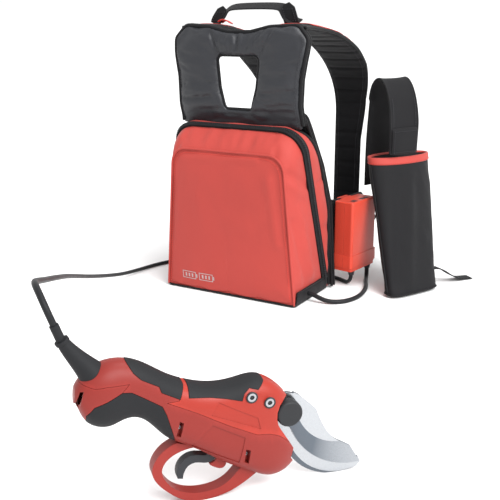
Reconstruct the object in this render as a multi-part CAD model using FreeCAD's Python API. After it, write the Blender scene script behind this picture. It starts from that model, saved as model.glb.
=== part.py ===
import FreeCAD
import Part
import math
import os
from FreeCAD import Placement, Rotation, Vector

# Battery electric pruner on a cord, with its backpack power supply. Millimetres.
# World frame: origin at the middle of the bag's base on the ground, +Z up, +Y towards the wearer's
# back, +X towards the wearer's right hand.
# Tool frame: X forwards along the pruner (blade end), Y to its left, Z up, origin on the ground
# below the trigger guard. TOOL_PLACE puts the tool frame in the world.

# ---------------------------------------------------------------- driving dimensions: hand pruner
TOOL_TURN = 48.0                      # heading of the pruner's nose, degrees from +X
TOOL_FOOT = Vector(304.0, -645.0, 0.0)
TOOL_PLACE = Placement(TOOL_FOOT, Rotation(Vector(0, 0, 1), TOOL_TURN))

CASING_WALL = 2.8
PAD_DEPTH = 1.4                       # how deep the rubber pads sit in the casing
PAD_PROUD = 0.4
JOINT_GAP = 0.2                       # half of the visible line between two mouldings

PIVOT = (102.5, 88.5)                 # blade pivot in the tool's side view (X, Z)
BLADE_THICK = 4.0
PLATE_GAP = 0.2                       # from the tool's middle plane to the blade and to the hook
BUSH_OUTER = 7.0
BUSH_INNER = 5.05
BOLT_RADIUS = 5.0
CAP_RADIUS = 14.0
EDGE_CENTRE = (186.3, 90.5)           # circle of the cutting edge
EDGE_RADIUS = 81.4
BEVEL_CENTRE = (167.5, 93.6)          # circle of the bevel's upper limit
BEVEL_RADIUS = 52.9
HOOK_CENTRE = (165.6, 63.7)           # circle of the hook's outer edge
HOOK_RADIUS = 64.7
HOOK_TIP = (193.5, 8.2)
EDGE_LEFT = 0.7                       # thickness left at a ground edge

CRANK = 22.0                          # pivot to crank pin
BLADE_SWING = 50.0                    # closed to fully open, degrees
DRIVE_SLOPE = -25.0                   # the ball screw's slope in the side view, degrees
PIN_RADIUS = 3.0
MOTOR_RADIUS = 13.0
SCREW_RADIUS = 4.0
NUT_RADIUS = 9.5
TRIGGER_PIVOT = (27.0, 58.0)
EYELETS = ((60.0, 115.5), (79.0, 107.0))        # ringed hex sockets beside the head
EYELET_RADIUS = 4.6
SCREW_WELLS = (((-14.5, 100.5), (-10.5, 98.5), (-13.5, 82.0), (-17.5, 83.5)),
               ((53.5, 59.0), (58.5, 57.0), (57.0, 40.5), (52.5, 43.0)))
WELL_FLOOR = 13.0                     # from the middle plane to the bottom of a screw well
SCREW_SHANK = 1.3
SCREW_END = -17.0                     # the ball screw's free end, along the drive axis

# ---------------------------------------------------------------- driving dimensions: backpack
BAG_HALF = 133.0                      # half width of the bag at its base
BASE_THICK = 4.0
BASE_RIM = 26.0
FABRIC = 4.0                          # padded fabric wall
FRONT_LOW = (-71.0, 4.2)              # side view points (Y, Z) of the front panel and the zip plane
FRONT_HIGH = (-79.0, 264.0)
ZIP_LOW = (47.0, 4.2)
ZIP_HIGH = (-48.0, 300.0)
ZIP_WIDTH = 9.0
SLIDER_HEIGHTS = ((92.0, 1), (104.0, -1))    # two sliders that meet, pulls pointing apart
PANEL_THICK = 14.0
YOKE_FRONT = -46.0
YOKE_THICK = 22.0
YOKE_LOW = 302.0
YOKE_HIGH = 472.0
STRAP_INNER = 50.0
STRAP_OUTER = 118.0
STRAP_WIDEST = 136.0                    # outer edge over the shoulder, and lower down
STRAP_NARROW = 102.0
STRAP_THICK = 12.0
STRAP_TOP = 468.0
STRAP_CREST = -20.0                     # Y where a strap starts to fall over the shoulder
STRAP_DROP = 168.0                      # height of that fall
STRAP_FRONT = 267.6
CURVE_POINTS = 12
STRAP_END = 92.0
BELT_THICK = 6.6
BATTERY = (75.0, 58.0, 112.0)         # one pack: width, depth, height

CONTROL_PLACE = Placement(Vector(173.5, 76.0, 32.0), Rotation(Vector(0, 0, 1), -8.0))
CONTROL = (40.0, 84.0, 130.0)         # depth, width, height
CONTROL_WALL = 2.5
CONTROL_SPLIT = 18.0                  # depth of the front shell
GLAND_LONG = 10.0
GLAND_PLACES = ((-10.0, 18.0), (-10.0, 76.0))   # in the controller's own plan view
BUTTONS = (("power_button", 13.0, 26.0), ("level_down_button", 43.0, 54.0),
           ("level_up_button", 57.0, 68.0))     # and each button's reach across the top

HOLSTER_TOP = Vector(207.0, 206.0, 236.0)
HOLSTER_BOTTOM = Vector(277.0, 114.0, 3.0)
HOLSTER_TURN = 64.0                   # direction of its long side, degrees from +X
HOLSTER_MOUTH = (142.0, 58.0)
HOLSTER_TOE = (112.0, 36.0)
HOLSTER_WALL = 3.0
RIM_HIGH = 12.0

# ---------------------------------------------------------------- driving dimensions: cords
CORD_D = 7.0
BATTERY_CORD_D = 8.0
BOOT_ROOT = (-121.5, 191.5)           # the boot's thin sleeve in the tool's side view: its start
BOOT_END = (-127.0, 207.0)            # and its end, where the cord comes out

parts = {}


# ---------------------------------------------------------------- helpers
def side(point, y=0.0):
    """A side view point (X, Z) of the tool as a vector."""
    return Vector(point[0], y, point[1])


def polar(centre, radius, degrees):
    """A side view point at a distance and angle from another."""
    angle = math.radians(degrees)
    return (centre[0] + radius * math.cos(angle), centre[1] + radius * math.sin(angle))


def middle(corners):
    """The middle of a group of points."""
    return tuple(sum(values) / len(corners) for values in zip(*corners))


def side_prism(outline, y_low, y_high):
    """A straight-sided block with a side view outline, between two Y values."""
    points = [side(point, y_low) for point in outline]
    wire = Part.makePolygon(points + points[:1])
    return Part.Face(wire).extrude(Vector(0, y_high - y_low, 0))


def curved_prism(spans, y_low, y_high):
    """A block whose outline is a chain of spans: two points are a line, more are a smooth curve."""
    edges = []
    for span in spans:
        points = [side(point, y_low) for point in span]
        if len(points) == 2:
            edges.append(Part.LineSegment(points[0], points[1]).toShape())
        else:
            curve = Part.BSplineCurve()
            curve.interpolate(points)
            edges.append(curve.toShape())
    return Part.Face(Part.Wire(edges)).extrude(Vector(0, y_high - y_low, 0))


def disc(centre, radius, y_low, y_high):
    """A cylinder along Y in the tool's side view."""
    return Part.makeCylinder(radius, y_high - y_low, side(centre, y_low), Vector(0, 1, 0))


def block(low, high):
    """A box between two corners."""
    low = Vector(*low)
    high = Vector(*high)
    size = high - low
    return Part.makeBox(size.x, size.y, size.z, low)


def fuse(shapes):
    """All the shapes as one solid."""
    whole = shapes[0].multiFuse(shapes[1:]) if len(shapes) > 1 else shapes[0]
    return whole.removeSplitter()


def group(shapes):
    """Separate solids kept in one node."""
    solids = []
    for shape in shapes:
        solids.extend(shape.Solids)
    return Part.makeCompound(solids)


def add(name, shape, place=None):
    """Keep a sub-part, moved to its place in the world."""
    shape = shape.copy()
    if place is not None:
        shape.Placement = place.multiply(shape.Placement)
    parts[name] = shape


# ---------------------------------------------------------------- pruner casing
# Cross-sections from tail to nose: top point, bottom point, half width, squareness.
STATIONS = (
    ((-112.0, 143.0), (-114.0, 127.0), 9.0, 2.1),
    ((-104.0, 153.0), (-108.0, 115.0), 17.0, 2.1),
    ((-93.0, 161.0), (-98.0, 102.5), 21.0, 2.2),
    ((-79.0, 165.5), (-84.0, 98.5), 22.5, 2.2),
    ((-61.0, 164.5), (-71.0, 102.0), 21.0, 2.2),
    ((-44.0, 157.0), (-56.0, 104.5), 20.0, 2.3),
    ((-26.0, 145.0), (-40.0, 94.0), 20.5, 2.4),
    ((-5.0, 134.0), (-22.0, 76.0), 22.0, 2.6),
    ((18.0, 126.5), (4.0, 61.0), 23.5, 2.9),
    ((42.0, 125.5), (29.0, 44.0), 23.5, 3.1),
    ((62.0, 129.0), (53.0, 30.0), 23.5, 3.1),
    ((79.0, 127.0), (75.0, 18.0), 22.5, 2.9),
    ((92.0, 118.5), (93.0, 15.5), 20.0, 2.7),
    ((101.0, 109.0), (105.0, 20.0), 16.0, 2.5),
    ((109.0, 98.0), (114.0, 28.0), 12.0, 2.4),
)
SECTION_POINTS = 28
SECTION_KNOTS = [index / SECTION_POINTS for index in range(SECTION_POINTS + 1)]

# Front limit of the casing in side view, from the top down, with the notch beside the hook.
CASING_FRONT = ((103.5, 118.0), (103.2, 105.5), (98.0, 104.5), (91.5, 100.0), (88.0, 93.0),
                (87.5, 86.0), (89.0, 79.5), (92.5, 73.0), (105.0, 53.0), (109.0, 46.0),
                (106.0, 34.0), (112.0, 26.0), (112.0, 10.0))
PARTING = ((-26.0, 121.5), (4.0, 107.0), (37.0, 88.0), (65.0, 74.0), (79.0, 72.0), (89.0, 68.0),
           (99.0, 60.0), (108.0, 49.0))
TAIL_LINE = ((-107.0, 149.0), (-94.0, 145.5), (-83.0, 146.5), (-62.0, 146.0), (-69.0, 139.0))
PAD_TOP = ((-69.0, 139.0), (-84.0, 132.0), (-96.0, 127.5), (-103.5, 118.0), (-104.0, 108.0),
           (-99.0, 100.0))


def casing_loft(grow):
    """The casing's outer form, grown or shrunk all over."""
    wires = []
    last = len(STATIONS) - 1
    for index, (top, bottom, half_width, square) in enumerate(STATIONS):
        top = side(top)
        bottom = side(bottom)
        rise = top - bottom
        half_height = rise.Length / 2 + grow
        rise.normalize()
        centre = (top + bottom) * 0.5
        along = Vector(0, 1, 0).cross(rise)
        if index == 0:
            centre = centre - along * grow
        if index == last:
            centre = centre + along * grow
        points = []
        for step in range(SECTION_POINTS):
            angle = 2 * math.pi * step / SECTION_POINTS
            up = math.copysign(abs(math.cos(angle)) ** (2 / square), math.cos(angle))
            out = math.copysign(abs(math.sin(angle)) ** (2 / square), math.sin(angle))
            points.append(centre + rise * (half_height * up)
                          + Vector(0, (half_width + grow) * out, 0))
        curve = Part.BSplineCurve()
        curve.interpolate(Points=points, PeriodicFlag=True, Parameters=SECTION_KNOTS)
        wires.append(Part.Wire(curve.toShape()))
    return Part.makeLoft(wires, True, False)


def shrink(outline, amount):
    """A closed side view outline moved inwards (or outwards, for a negative amount)."""
    points = [Vector(x, z, 0) for x, z in outline]
    face = Part.Face(Part.makePolygon(points + points[:1]))
    moved = face.makeOffset2D(-amount, 2, False, False, True)
    corners = [vertex.Point for vertex in moved.OuterWire.OrderedVertexes]
    return [(corner.x, corner.y) for corner in corners]


def build_casing():
    """Both grip halves, the head cover, the tail cap and the rubber pads."""
    outer = casing_loft(0.0)
    floor_of_pads = casing_loft(-PAD_DEPTH)
    inner = casing_loft(-CASING_WALL)
    pad_outer = casing_loft(PAD_PROUD)
    bosses = [side_prism(shrink(corners, -1.4), -40, 40) for corners in SCREW_WELLS]
    shell = outer.cut(inner.cut(fuse(bosses)))

    nose = side_prism(CASING_FRONT + ((150.0, 10.0), (150.0, 118.0)), -40, 40)
    blade_slot = disc(PIVOT, 21.6, -5.4, 5.4)
    trigger_slot = block((11.0, -6.2, 38.0), (37.0, 6.2, 64.0))
    shell = shell.cut(fuse([nose, blade_slot, trigger_slot]))

    head = PARTING + ((150.0, 49.0), (150.0, 160.0), (-4.0, 160.0), (-9.5, 133.0), (-14.0, 122.0))
    tail = TAIL_LINE + PAD_TOP[1:] + ((-98.0, 85.0), (-130.0, 85.0), (-130.0, 149.0))
    grip = PAD_TOP + ((-98.0, 80.0), (-19.5, 60.0), (-18.0, 76.0), (-27.0, 109.0), (-31.0, 118.5),
                      (-47.0, 129.0), (-60.0, 137.5))
    rear_strip = ((-64.0, 180.0), (-63.0, 165.0), (-57.0, 155.0), (-50.0, 148.0), (-33.0, 138.5),
                  (-31.0, 132.5), (-13.0, 123.0), (-7.5, 134.0), (-4.0, 160.0))
    front_strip = ((-1.0, 160.0), (-4.0, 123.0), (18.0, 120.0), (35.0, 116.5), (50.0, 112.5),
                   (53.0, 119.0), (59.0, 123.5), (68.0, 121.0), (76.0, 127.0), (80.0, 160.0))

    skin = outer.cut(floor_of_pads)
    covers = [side_prism(shrink(outline, -JOINT_GAP), -40, 40) for outline in (head, tail)]
    pads = [side_prism(shrink(outline, -JOINT_GAP), -40, 40)
            for outline in (grip, rear_strip, front_strip)]
    pad_bed = skin.common(fuse(pads))
    body = shell.cut(fuse(covers)).cut(pad_bed)

    panel = ((18.5, 92.0), (0.0, 73.5), (-2.0, 69.5), (47.0, 43.0), (52.5, 72.5))
    panel_bed = outer.cut(casing_loft(-0.7)).common(side_prism(panel, -40, 40))
    body = body.cut(panel_bed)
    bores = []
    for corners in SCREW_WELLS:
        bores.append(side_prism(corners, -40, -WELL_FLOOR))
        bores.append(side_prism(corners, WELL_FLOOR, 40))
        bores.append(disc(middle(corners), SCREW_SHANK + 0.1, -WELL_FLOOR - 1.0, 12.1))
    body = body.cut(fuse(bores))
    tail_slot = side_prism(((-108.0, 142.0), (-104.5, 143.0), (-110.0, 124.0), (-114.0, 126.0)),
                           -40, 40)

    add("casing_right", body.common(block((-200, -60, -20), (200, -0.05, 200))), TOOL_PLACE)
    add("casing_left", body.common(block((-200, 0.05, -20), (200, 60, 200))), TOOL_PLACE)

    label = ((17.5, 103.0), (26.0, 114.5), (66.0, 92.5), (69.0, 80.0))
    label_bed = outer.cut(casing_loft(-0.6)).common(side_prism(label, -40, 40))
    head_cover = shell.common(side_prism(shrink(head, JOINT_GAP), -40, 40))
    head_cover = head_cover.cut(skin.common(fuse(pads))).cut(label_bed)
    for centre in EYELETS:
        head_cover = head_cover.cut(disc(centre, EYELET_RADIUS + 0.1, -40, 40))
    add("head_cover", head_cover, TOOL_PLACE)
    tail_cap = shell.common(side_prism(shrink(tail, JOINT_GAP), -40, 40)).cut(tail_slot)
    add("tail_cap", tail_cap, TOOL_PLACE)

    pad_skin = pad_outer.cut(casing_loft(-PAD_DEPTH + 0.05)).cut(fuse([nose]))
    for name, outline, y_low, y_high in (
            ("grip_pad_right", grip, -40, -0.1), ("grip_pad_left", grip, 0.1, 40),
            ("top_grip_rear", rear_strip, -40, 40), ("top_grip_front", front_strip, -40, 40)):
        pad = pad_skin.common(side_prism(shrink(outline, JOINT_GAP), y_low, y_high))
        for centre in EYELETS:
            pad = pad.cut(disc(centre, EYELET_RADIUS + 2.4, -40, 40))
        add(name, pad, TOOL_PLACE)


def build_guard():
    """The oval trigger guard, an arched bar with rounded edges."""
    outside = [(-15.0, 70.0), (-28.0, 63.5), (-38.0, 52.0), (-41.0, 40.0), (-36.0, 27.5),
               (-24.0, 14.5), (-10.0, 4.5), (6.0, 0.2), (22.0, 0.6), (42.0, 5.5), (60.0, 15.0),
               (76.0, 26.0)]
    inside = [(62.0, 34.0), (49.5, 27.5), (42.0, 19.5), (30.0, 12.0), (16.0, 9.2), (1.0, 10.0),
              (-10.5, 13.5), (-21.0, 20.5), (-28.0, 30.0), (-31.0, 39.5), (-27.0, 50.0),
              (-18.0, 57.0), (-6.0, 61.0), (8.0, 62.0)]
    bar = curved_prism([outside, [outside[-1], inside[0]], inside, [inside[-1], outside[0]]],
                       -7.5, 7.5)
    bar = bar.cut(casing_loft(0.1))
    bar = max(bar.Solids, key=lambda solid: solid.Volume)
    add("trigger_guard", bar, TOOL_PLACE)


# ---------------------------------------------------------------- blades and pivot
def grind(lead, corner, circle, far_angle, y_face, y_edge, edge_circle, edge_angles):
    """The wedge that a ground bevel takes off: from a line on the face to the edge circle."""
    centre, radius = circle
    start = math.degrees(math.atan2(corner[1] - centre[1], corner[0] - centre[0])) % 360
    wires = []
    for y, (arc_centre, arc_radius), (from_angle, to_angle) in (
            (y_face, circle, (start, far_angle)), (y_edge, edge_circle, edge_angles)):
        a = polar(arc_centre, arc_radius, from_angle)
        m = polar(arc_centre, arc_radius, (from_angle + to_angle) / 2)
        b = polar(arc_centre, arc_radius, to_angle)
        corners = [(225.0, b[1]), (225.0, -40.0), (lead[0] - 6.0, -40.0), lead]
        edges = [Part.LineSegment(side(lead, y), side(a, y)).toShape(),
                 Part.Arc(side(a, y), side(m, y), side(b, y)).toShape(),
                 Part.LineSegment(side(b, y), side(corners[0], y)).toShape()]
        for one, two in zip(corners, corners[1:]):
            edges.append(Part.LineSegment(side(one, y), side(two, y)).toShape())
        wires.append(Part.Wire(edges))
    return Part.makeLoft(wires, True, True)


def edge_span(centre, radius, start, end):
    """Three points of an arc as a span for curved_prism's smooth curves."""
    count = 7
    return [polar(centre, radius, start + (end - start) * i / (count - 1)) for i in range(count)]


def build_blades():
    """The moving cutting blade with its crank, and the fixed hook behind it."""
    y_low = -PLATE_GAP - BLADE_THICK
    y_high = -PLATE_GAP
    back = [(138.0, 82.0), (142.0, 71.5), (148.0, 59.5), (155.5, 48.5), (163.5, 41.5)]
    top = [(112.0, 105.5), (117.5, 102.0)]
    edge = edge_span(EDGE_CENTRE, EDGE_RADIUS, 274.2, 199.5)
    plate = curved_prism([top, [top[1], back[0]], back, [back[-1], (179.0, 32.0)],
                          [(179.0, 32.0), (190.5, 12.5)], [(190.5, 12.5), edge[0]], edge,
                          [edge[-1], (100.0, 72.0)], [(100.0, 72.0), (98.0, 95.0)],
                          [(98.0, 95.0), top[0]]], y_low, y_high)
    heel = disc(PIVOT, 18.0, y_low, y_high)
    pin_at = polar(PIVOT, CRANK, DRIVE_SLOPE - 90.0 - BLADE_SWING / 2 + 360.0)
    reach = math.radians(DRIVE_SLOPE - 90.0 - BLADE_SWING / 2 + 360.0)
    across = (-math.sin(reach) * 6.5, math.cos(reach) * 6.5)
    arm = side_prism(((PIVOT[0] + across[0], PIVOT[1] + across[1]),
                      (pin_at[0] + across[0], pin_at[1] + across[1]),
                      (pin_at[0] - across[0], pin_at[1] - across[1]),
                      (PIVOT[0] - across[0], PIVOT[1] - across[1])), y_low, y_high)
    lug = disc(pin_at, 6.5, y_low, y_high)
    blade = fuse([plate, heel, arm, lug])
    wedge = grind((104.0, 66.3), (119.1, 72.0), (BEVEL_CENTRE, BEVEL_RADIUS), 300.0,
                  y_low - 0.05, y_high - EDGE_LEFT, (EDGE_CENTRE, EDGE_RADIUS - 0.3),
                  (200.5, 281.0))
    blade = blade.cut(wedge)
    blade = blade.cut(disc(PIVOT, BUSH_OUTER + 0.05, y_low - 1, y_high + 1))
    blade = fuse([blade, disc(pin_at, PIN_RADIUS, y_low - 4.4, y_low + 0.5)])
    add("cutting_blade", blade, TOOL_PLACE)

    y_low = PLATE_GAP
    y_high = PLATE_GAP + BLADE_THICK
    outside = edge_span(HOOK_CENTRE, HOOK_RADIUS, 206.0, 291.0)
    inside = edge_span(EDGE_CENTRE, EDGE_RADIUS - 5.5, 273.5, 201.0)
    hook = curved_prism([outside, [outside[-1], HOOK_TIP], [HOOK_TIP, inside[0]], inside,
                         [inside[-1], (112.0, 70.0)], [(112.0, 70.0), (94.0, 72.0)],
                         [(94.0, 72.0), (98.0, 44.0)], [(98.0, 44.0), outside[0]]],
                        y_low, y_high)
    neck = side_prism(((90.0, 88.0), (94.0, 60.0), (113.0, 60.0), (115.5, 88.0)), y_low, y_high)
    hook = fuse([hook, neck, disc(PIVOT, 14.0, y_low, y_high)])
    flank = grind((104.0, 52.0), (109.4, 46.0), ((171.5, 66.5), 65.4), 292.0, y_low - 0.05,
                  y_low + 2.6, (HOOK_CENTRE, HOOK_RADIUS + 0.4), (199.5, 294.0))
    hook = hook.cut(flank)
    hook = hook.cut(disc(PIVOT, BOLT_RADIUS + 0.1, y_low - 1, y_high + 1))
    add("hook_blade", hook, TOOL_PLACE)

    add("pivot_bushing", disc(PIVOT, BUSH_OUTER, -PLATE_GAP - BLADE_THICK, -PLATE_GAP).cut(
        disc(PIVOT, BUSH_INNER, -10, 10)), TOOL_PLACE)
    head = disc(PIVOT, 9.0, 9.0, 13.5).cut(side_prism(hexagon(PIVOT, 4.0), 11.0, 20.0))
    add("pivot_bolt", fuse([disc(PIVOT, BOLT_RADIUS, -16.0, 9.1), head]), TOOL_PLACE)
    cap = disc(PIVOT, CAP_RADIUS, -19.5, -9.2)
    rim = [edge for edge in cap.Edges if abs(edge.BoundBox.YMin + 19.5) < 0.01
           and edge.BoundBox.YLength < 0.01]
    cap = cap.makeFillet(2.6, rim)
    cap = cap.cut(disc(PIVOT, BOLT_RADIUS + 0.05, -16.1, 0.0))
    add("pivot_cap", cap, TOOL_PLACE)


def hexagon(centre, radius):
    """Six side view corners around a centre."""
    return [polar(centre, radius, 60.0 * index) for index in range(6)]


# ---------------------------------------------------------------- drive inside the pruner
AXIS_FOOT = polar(PIVOT, CRANK, DRIVE_SLOPE - 90.0 + 360.0)


def on_axis(t, y=0.0):
    """A point on the ball screw's axis, t forwards from the foot of the pivot's normal."""
    return side(polar(AXIS_FOOT, t, DRIVE_SLOPE), y)


def axis_disc(radius, t_low, t_high):
    """A cylinder along the ball screw's axis."""
    base = on_axis(t_low)
    return Part.makeCylinder(radius, t_high - t_low, base, on_axis(t_high) - base)


def axis_block(t_low, t_high, y_low, y_high, n_low, n_high):
    """A box in the drive's own axes: along the screw, across, and square to both."""
    shape = block((t_low, y_low, n_low), (t_high, y_high, n_high))
    turn = Rotation(Vector(0, 1, 0), -DRIVE_SLOPE)
    shape.Placement = Placement(side(AXIS_FOOT), turn)
    return shape


def build_drive():
    """Motor, gearbox, ball screw, nut with its yoke plate, and the head frame."""
    can = axis_disc(MOTOR_RADIUS, -120.0, -84.0).cut(axis_disc(11.4, -118.0, -83.0))
    can = can.cut(axis_disc(2.3, -122.0, -117.0))
    add("motor_can", can, TOOL_PLACE)
    rotor = fuse([axis_disc(10.8, -116.0, -87.0), axis_disc(2.0, -121.5, -85.0)])
    add("motor_rotor", rotor, TOOL_PLACE)
    gearbox = axis_disc(MOTOR_RADIUS, -83.8, -63.0)
    add("gearbox_housing", gearbox, TOOL_PLACE)

    add("screw_bearing", axis_disc(10.0, -62.8, -54.8).cut(axis_disc(SCREW_RADIUS + 0.05, -70, -50)),
        TOOL_PLACE)
    screw = axis_disc(SCREW_RADIUS, -62.6, SCREW_END)
    grooves = []
    for turn in range(5):
        ring = Part.makeTorus(SCREW_RADIUS + 0.25, 0.9, on_axis(-46.0 + 6.0 * turn),
                              on_axis(1.0) - on_axis(0.0))
        grooves.append(ring)
    screw = screw.cut(fuse(grooves))
    add("ball_screw", screw, TOOL_PLACE)

    pin_t = -CRANK * math.sin(math.radians(BLADE_SWING / 2))
    nut = axis_disc(NUT_RADIUS, -48.0, -34.0).cut(axis_disc(SCREW_RADIUS + 0.1, -60, -20))
    plate = axis_block(-47.0, pin_t + 7.0, -8.6, -5.6, -7.0, 8.0)
    slot = axis_block(pin_t - PIN_RADIUS - 0.2, pin_t + PIN_RADIUS + 0.2, -10, -4, -4.2, 5.6)
    carriage = fuse([nut, plate.cut(axis_disc(SCREW_RADIUS + 1.2, -60.0, -20.0))]).cut(slot)
    add("ball_nut", carriage, TOOL_PLACE)

    flange = axis_disc(15.0, -54.6, -51.0).cut(axis_disc(SCREW_RADIUS + 1.0, -60, -40))
    arm = axis_block(-54.0, -10.0, 10.4, 13.4, -9.0, 9.0)
    cheek = disc(PIVOT, 13.0, 4.4, 8.9)
    web = side_prism(((64.0, 99.0), (98.0, 99.0), (98.0, 76.0), (70.0, 68.0)), 4.4, 8.9)
    bridge = side_prism(((64.0, 98.0), (84.0, 98.0), (84.0, 80.0), (68.0, 76.0)), 8.0, 13.4)
    frame = fuse([flange.cut(block((0, 15.0, 0), (200, 40, 200))), arm, cheek, web, bridge])
    frame = frame.cut(disc(PIVOT, BOLT_RADIUS + 0.1, 0.0, 20.0))
    frame = frame.cut(axis_disc(NUT_RADIUS + 0.6, -50.8, -14.0))
    frame = max(frame.Solids, key=lambda solid: solid.Volume)
    add("head_frame", frame, TOOL_PLACE)


def build_trigger():
    """The curved trigger lever on its pin, with its catch, spring and sensor."""
    outer_curve = [(22.5, 62.0), (19.5, 57.0), (17.5, 50.5), (9.0, 51.0), (-2.0, 51.0),
                   (-10.5, 45.5), (-15.0, 36.0), (-14.5, 28.0)]
    inner_curve = [(-9.0, 27.0), (-7.5, 34.0), (-3.0, 40.5), (5.0, 43.0), (16.5, 41.0),
                   (24.0, 43.5), (26.5, 50.0), (30.5, 56.0)]
    lever = curved_prism([outer_curve, [outer_curve[-1], inner_curve[0]], inner_curve,
                          [inner_curve[-1], outer_curve[0]]], -5.0, 5.0)
    hub = disc(TRIGGER_PIVOT, 5.2, -5.0, 5.0)
    hole = disc(TRIGGER_PIVOT, 1.56, -20, 20)
    add("trigger", fuse([lever, hub]).cut(hole), TOOL_PLACE)
    catch = curved_prism([[(25.2, 41.0), (28.4, 46.8)], [(28.4, 46.8), (36.0, 40.5)],
                          [(36.0, 40.5), (37.5, 36.5), (34.0, 32.0), (27.0, 33.0), (19.5, 38.0)],
                          [(19.5, 38.0), (25.2, 41.0)]], -4.5, 4.5)
    add("trigger_catch", catch.cut(casing_loft(0.4)), TOOL_PLACE)
    add("trigger_pin", disc(TRIGGER_PIVOT, 1.5, -10.0, 10.0), TOOL_PLACE)
    coils = [Part.makeTorus(2.9, 0.5, side(TRIGGER_PIVOT, 6.2 + 1.1 * turn), Vector(0, 1, 0))
             for turn in range(3)]
    add("trigger_spring", group(coils), TOOL_PLACE)
    add("trigger_sensor", block((6.0, -6.0, 66.0), (17.0, 6.0, 73.0)), TOOL_PLACE)
    board = block((-22.0, -13.0, -0.8), (22.0, 13.0, 0.8))
    chips = [block((-16.0 + 11.0 * index, -5.0, 0.9), (-9.0 + 11.0 * index, 5.0, 3.2))
             for index in range(3)]
    place = Placement(Vector(-62.0, 0, 127.0), Rotation(Vector(0, 1, 0), 6.0))
    board = fuse([board, *[chip.translated(Vector(0, 0, -0.2)) for chip in chips]])
    board.Placement = place
    add("drive_board", board, TOOL_PLACE)


def build_fasteners():
    """Hex socket eyelets through the head and the screws in their wells."""
    bolts = []
    for centre in EYELETS:
        bolt = disc(centre, EYELET_RADIUS, -22.4, -9.5)
        bolts.append(bolt.cut(side_prism(hexagon(centre, 2.6), -30.0, -17.0)))
        bolt = disc(centre, EYELET_RADIUS, 14.0, 22.4)
        bolts.append(bolt.cut(side_prism(hexagon(centre, 2.6), 17.0, 30.0)))
    add("head_bolts", group(bolts), TOOL_PLACE)
    screws = []
    for corners in SCREW_WELLS:
        centre = middle(corners)
        head = disc(centre, 1.9, -WELL_FLOOR - 2.0, -WELL_FLOOR)
        screw = fuse([disc(centre, SCREW_SHANK, -WELL_FLOOR - 0.5, 12.0), head])
        screws.append(screw.cut(side_prism(hexagon(centre, 1.0), -20.0, -WELL_FLOOR - 0.8)))
    add("casing_screws", group(screws), TOOL_PLACE)


def build_boot():
    """The tapered cable boot on the tail, its collar and the thin sleeve."""
    steps = (((-92.0, 150.0), 15.5, (-0.64, 0.77)), ((-98.0, 158.5), 12.4, (-0.66, 0.75)),
             ((-107.0, 170.5), 9.4, (-0.62, 0.78)), ((-115.0, 181.5), 7.4, (-0.55, 0.84)),
             ((-120.5, 190.5), 6.0, (-0.50, 0.87)))
    wires = []
    for centre, radius, (dx, dz) in steps:
        circle = Part.Circle(side(centre), Vector(dx, 0, dz), radius)
        wires.append(Part.Wire(circle.toShape()))
    boot = Part.makeLoft(wires, True, False)
    collar_way = side((-0.50, 0.87))
    collar = Part.makeCylinder(7.2, 3.4, side((-119.6, 188.6)), collar_way)
    tip = side(BOOT_END)
    root = side(BOOT_ROOT)
    sleeve = Part.makeCylinder(4.6, (tip - root).Length, root, tip - root)
    boot = fuse([boot, collar, sleeve]).cut(casing_loft(0.1))
    boot = max(boot.Solids, key=lambda solid: solid.Volume)
    bore_way = tip - root
    bore = Part.makeCylinder(CORD_D / 2 + 0.05, 14.0, tip - bore_way * (13.0 / bore_way.Length),
                             bore_way)
    add("cable_boot", boot.cut(bore), TOOL_PLACE)


# ---------------------------------------------------------------- backpack bag
def panel_wire(low, high, half_low, half_high, radius, inset=0.0, lift=0.0):
    """A rounded panel outline in a plane that leans: low and high are (Y, Z) on the middle line."""
    rise = Vector(0, high[0] - low[0], high[1] - low[1])
    length = rise.Length
    rise.normalize()
    base = Vector(0, low[0], low[1])

    def at(x, s):
        return base + rise * s + Vector(x, 0, 0)

    half_low = half_low - inset
    half_high = half_high - inset
    bottom = lift
    top = length - inset
    radius = radius - inset
    low_right = at(half_low, bottom)
    side_right = at(half_high, top - radius)
    top_right = at(half_high - radius, top)
    diagonal = radius * (1 - math.sqrt(0.5))
    corner = at(half_high - diagonal, top - diagonal)

    def mirror(point):
        return Vector(-point.x, point.y, point.z)

    return Part.Wire([
        Part.LineSegment(mirror(low_right), low_right).toShape(),
        Part.LineSegment(low_right, side_right).toShape(),
        Part.Arc(side_right, corner, top_right).toShape(),
        Part.LineSegment(top_right, mirror(top_right)).toShape(),
        Part.Arc(mirror(top_right), mirror(corner), mirror(side_right)).toShape(),
        Part.LineSegment(mirror(side_right), mirror(low_right)).toShape()])


def shifted(point, dy, dz=0.0):
    """A (Y, Z) point moved by dy and dz."""
    return (point[0] + dy, point[1] + dz)


def yz_prism(outline, half):
    """A block with a (Y, Z) outline, symmetric about X = 0."""
    points = [Vector(-half, y, z) for y, z in outline]
    return Part.Face(Part.makePolygon(points + points[:1])).extrude(Vector(2 * half, 0, 0))


REAR = ((61.0, 4.2), (59.0, 150.0), (31.0, 226.0), (-9.0, 292.0))


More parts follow.
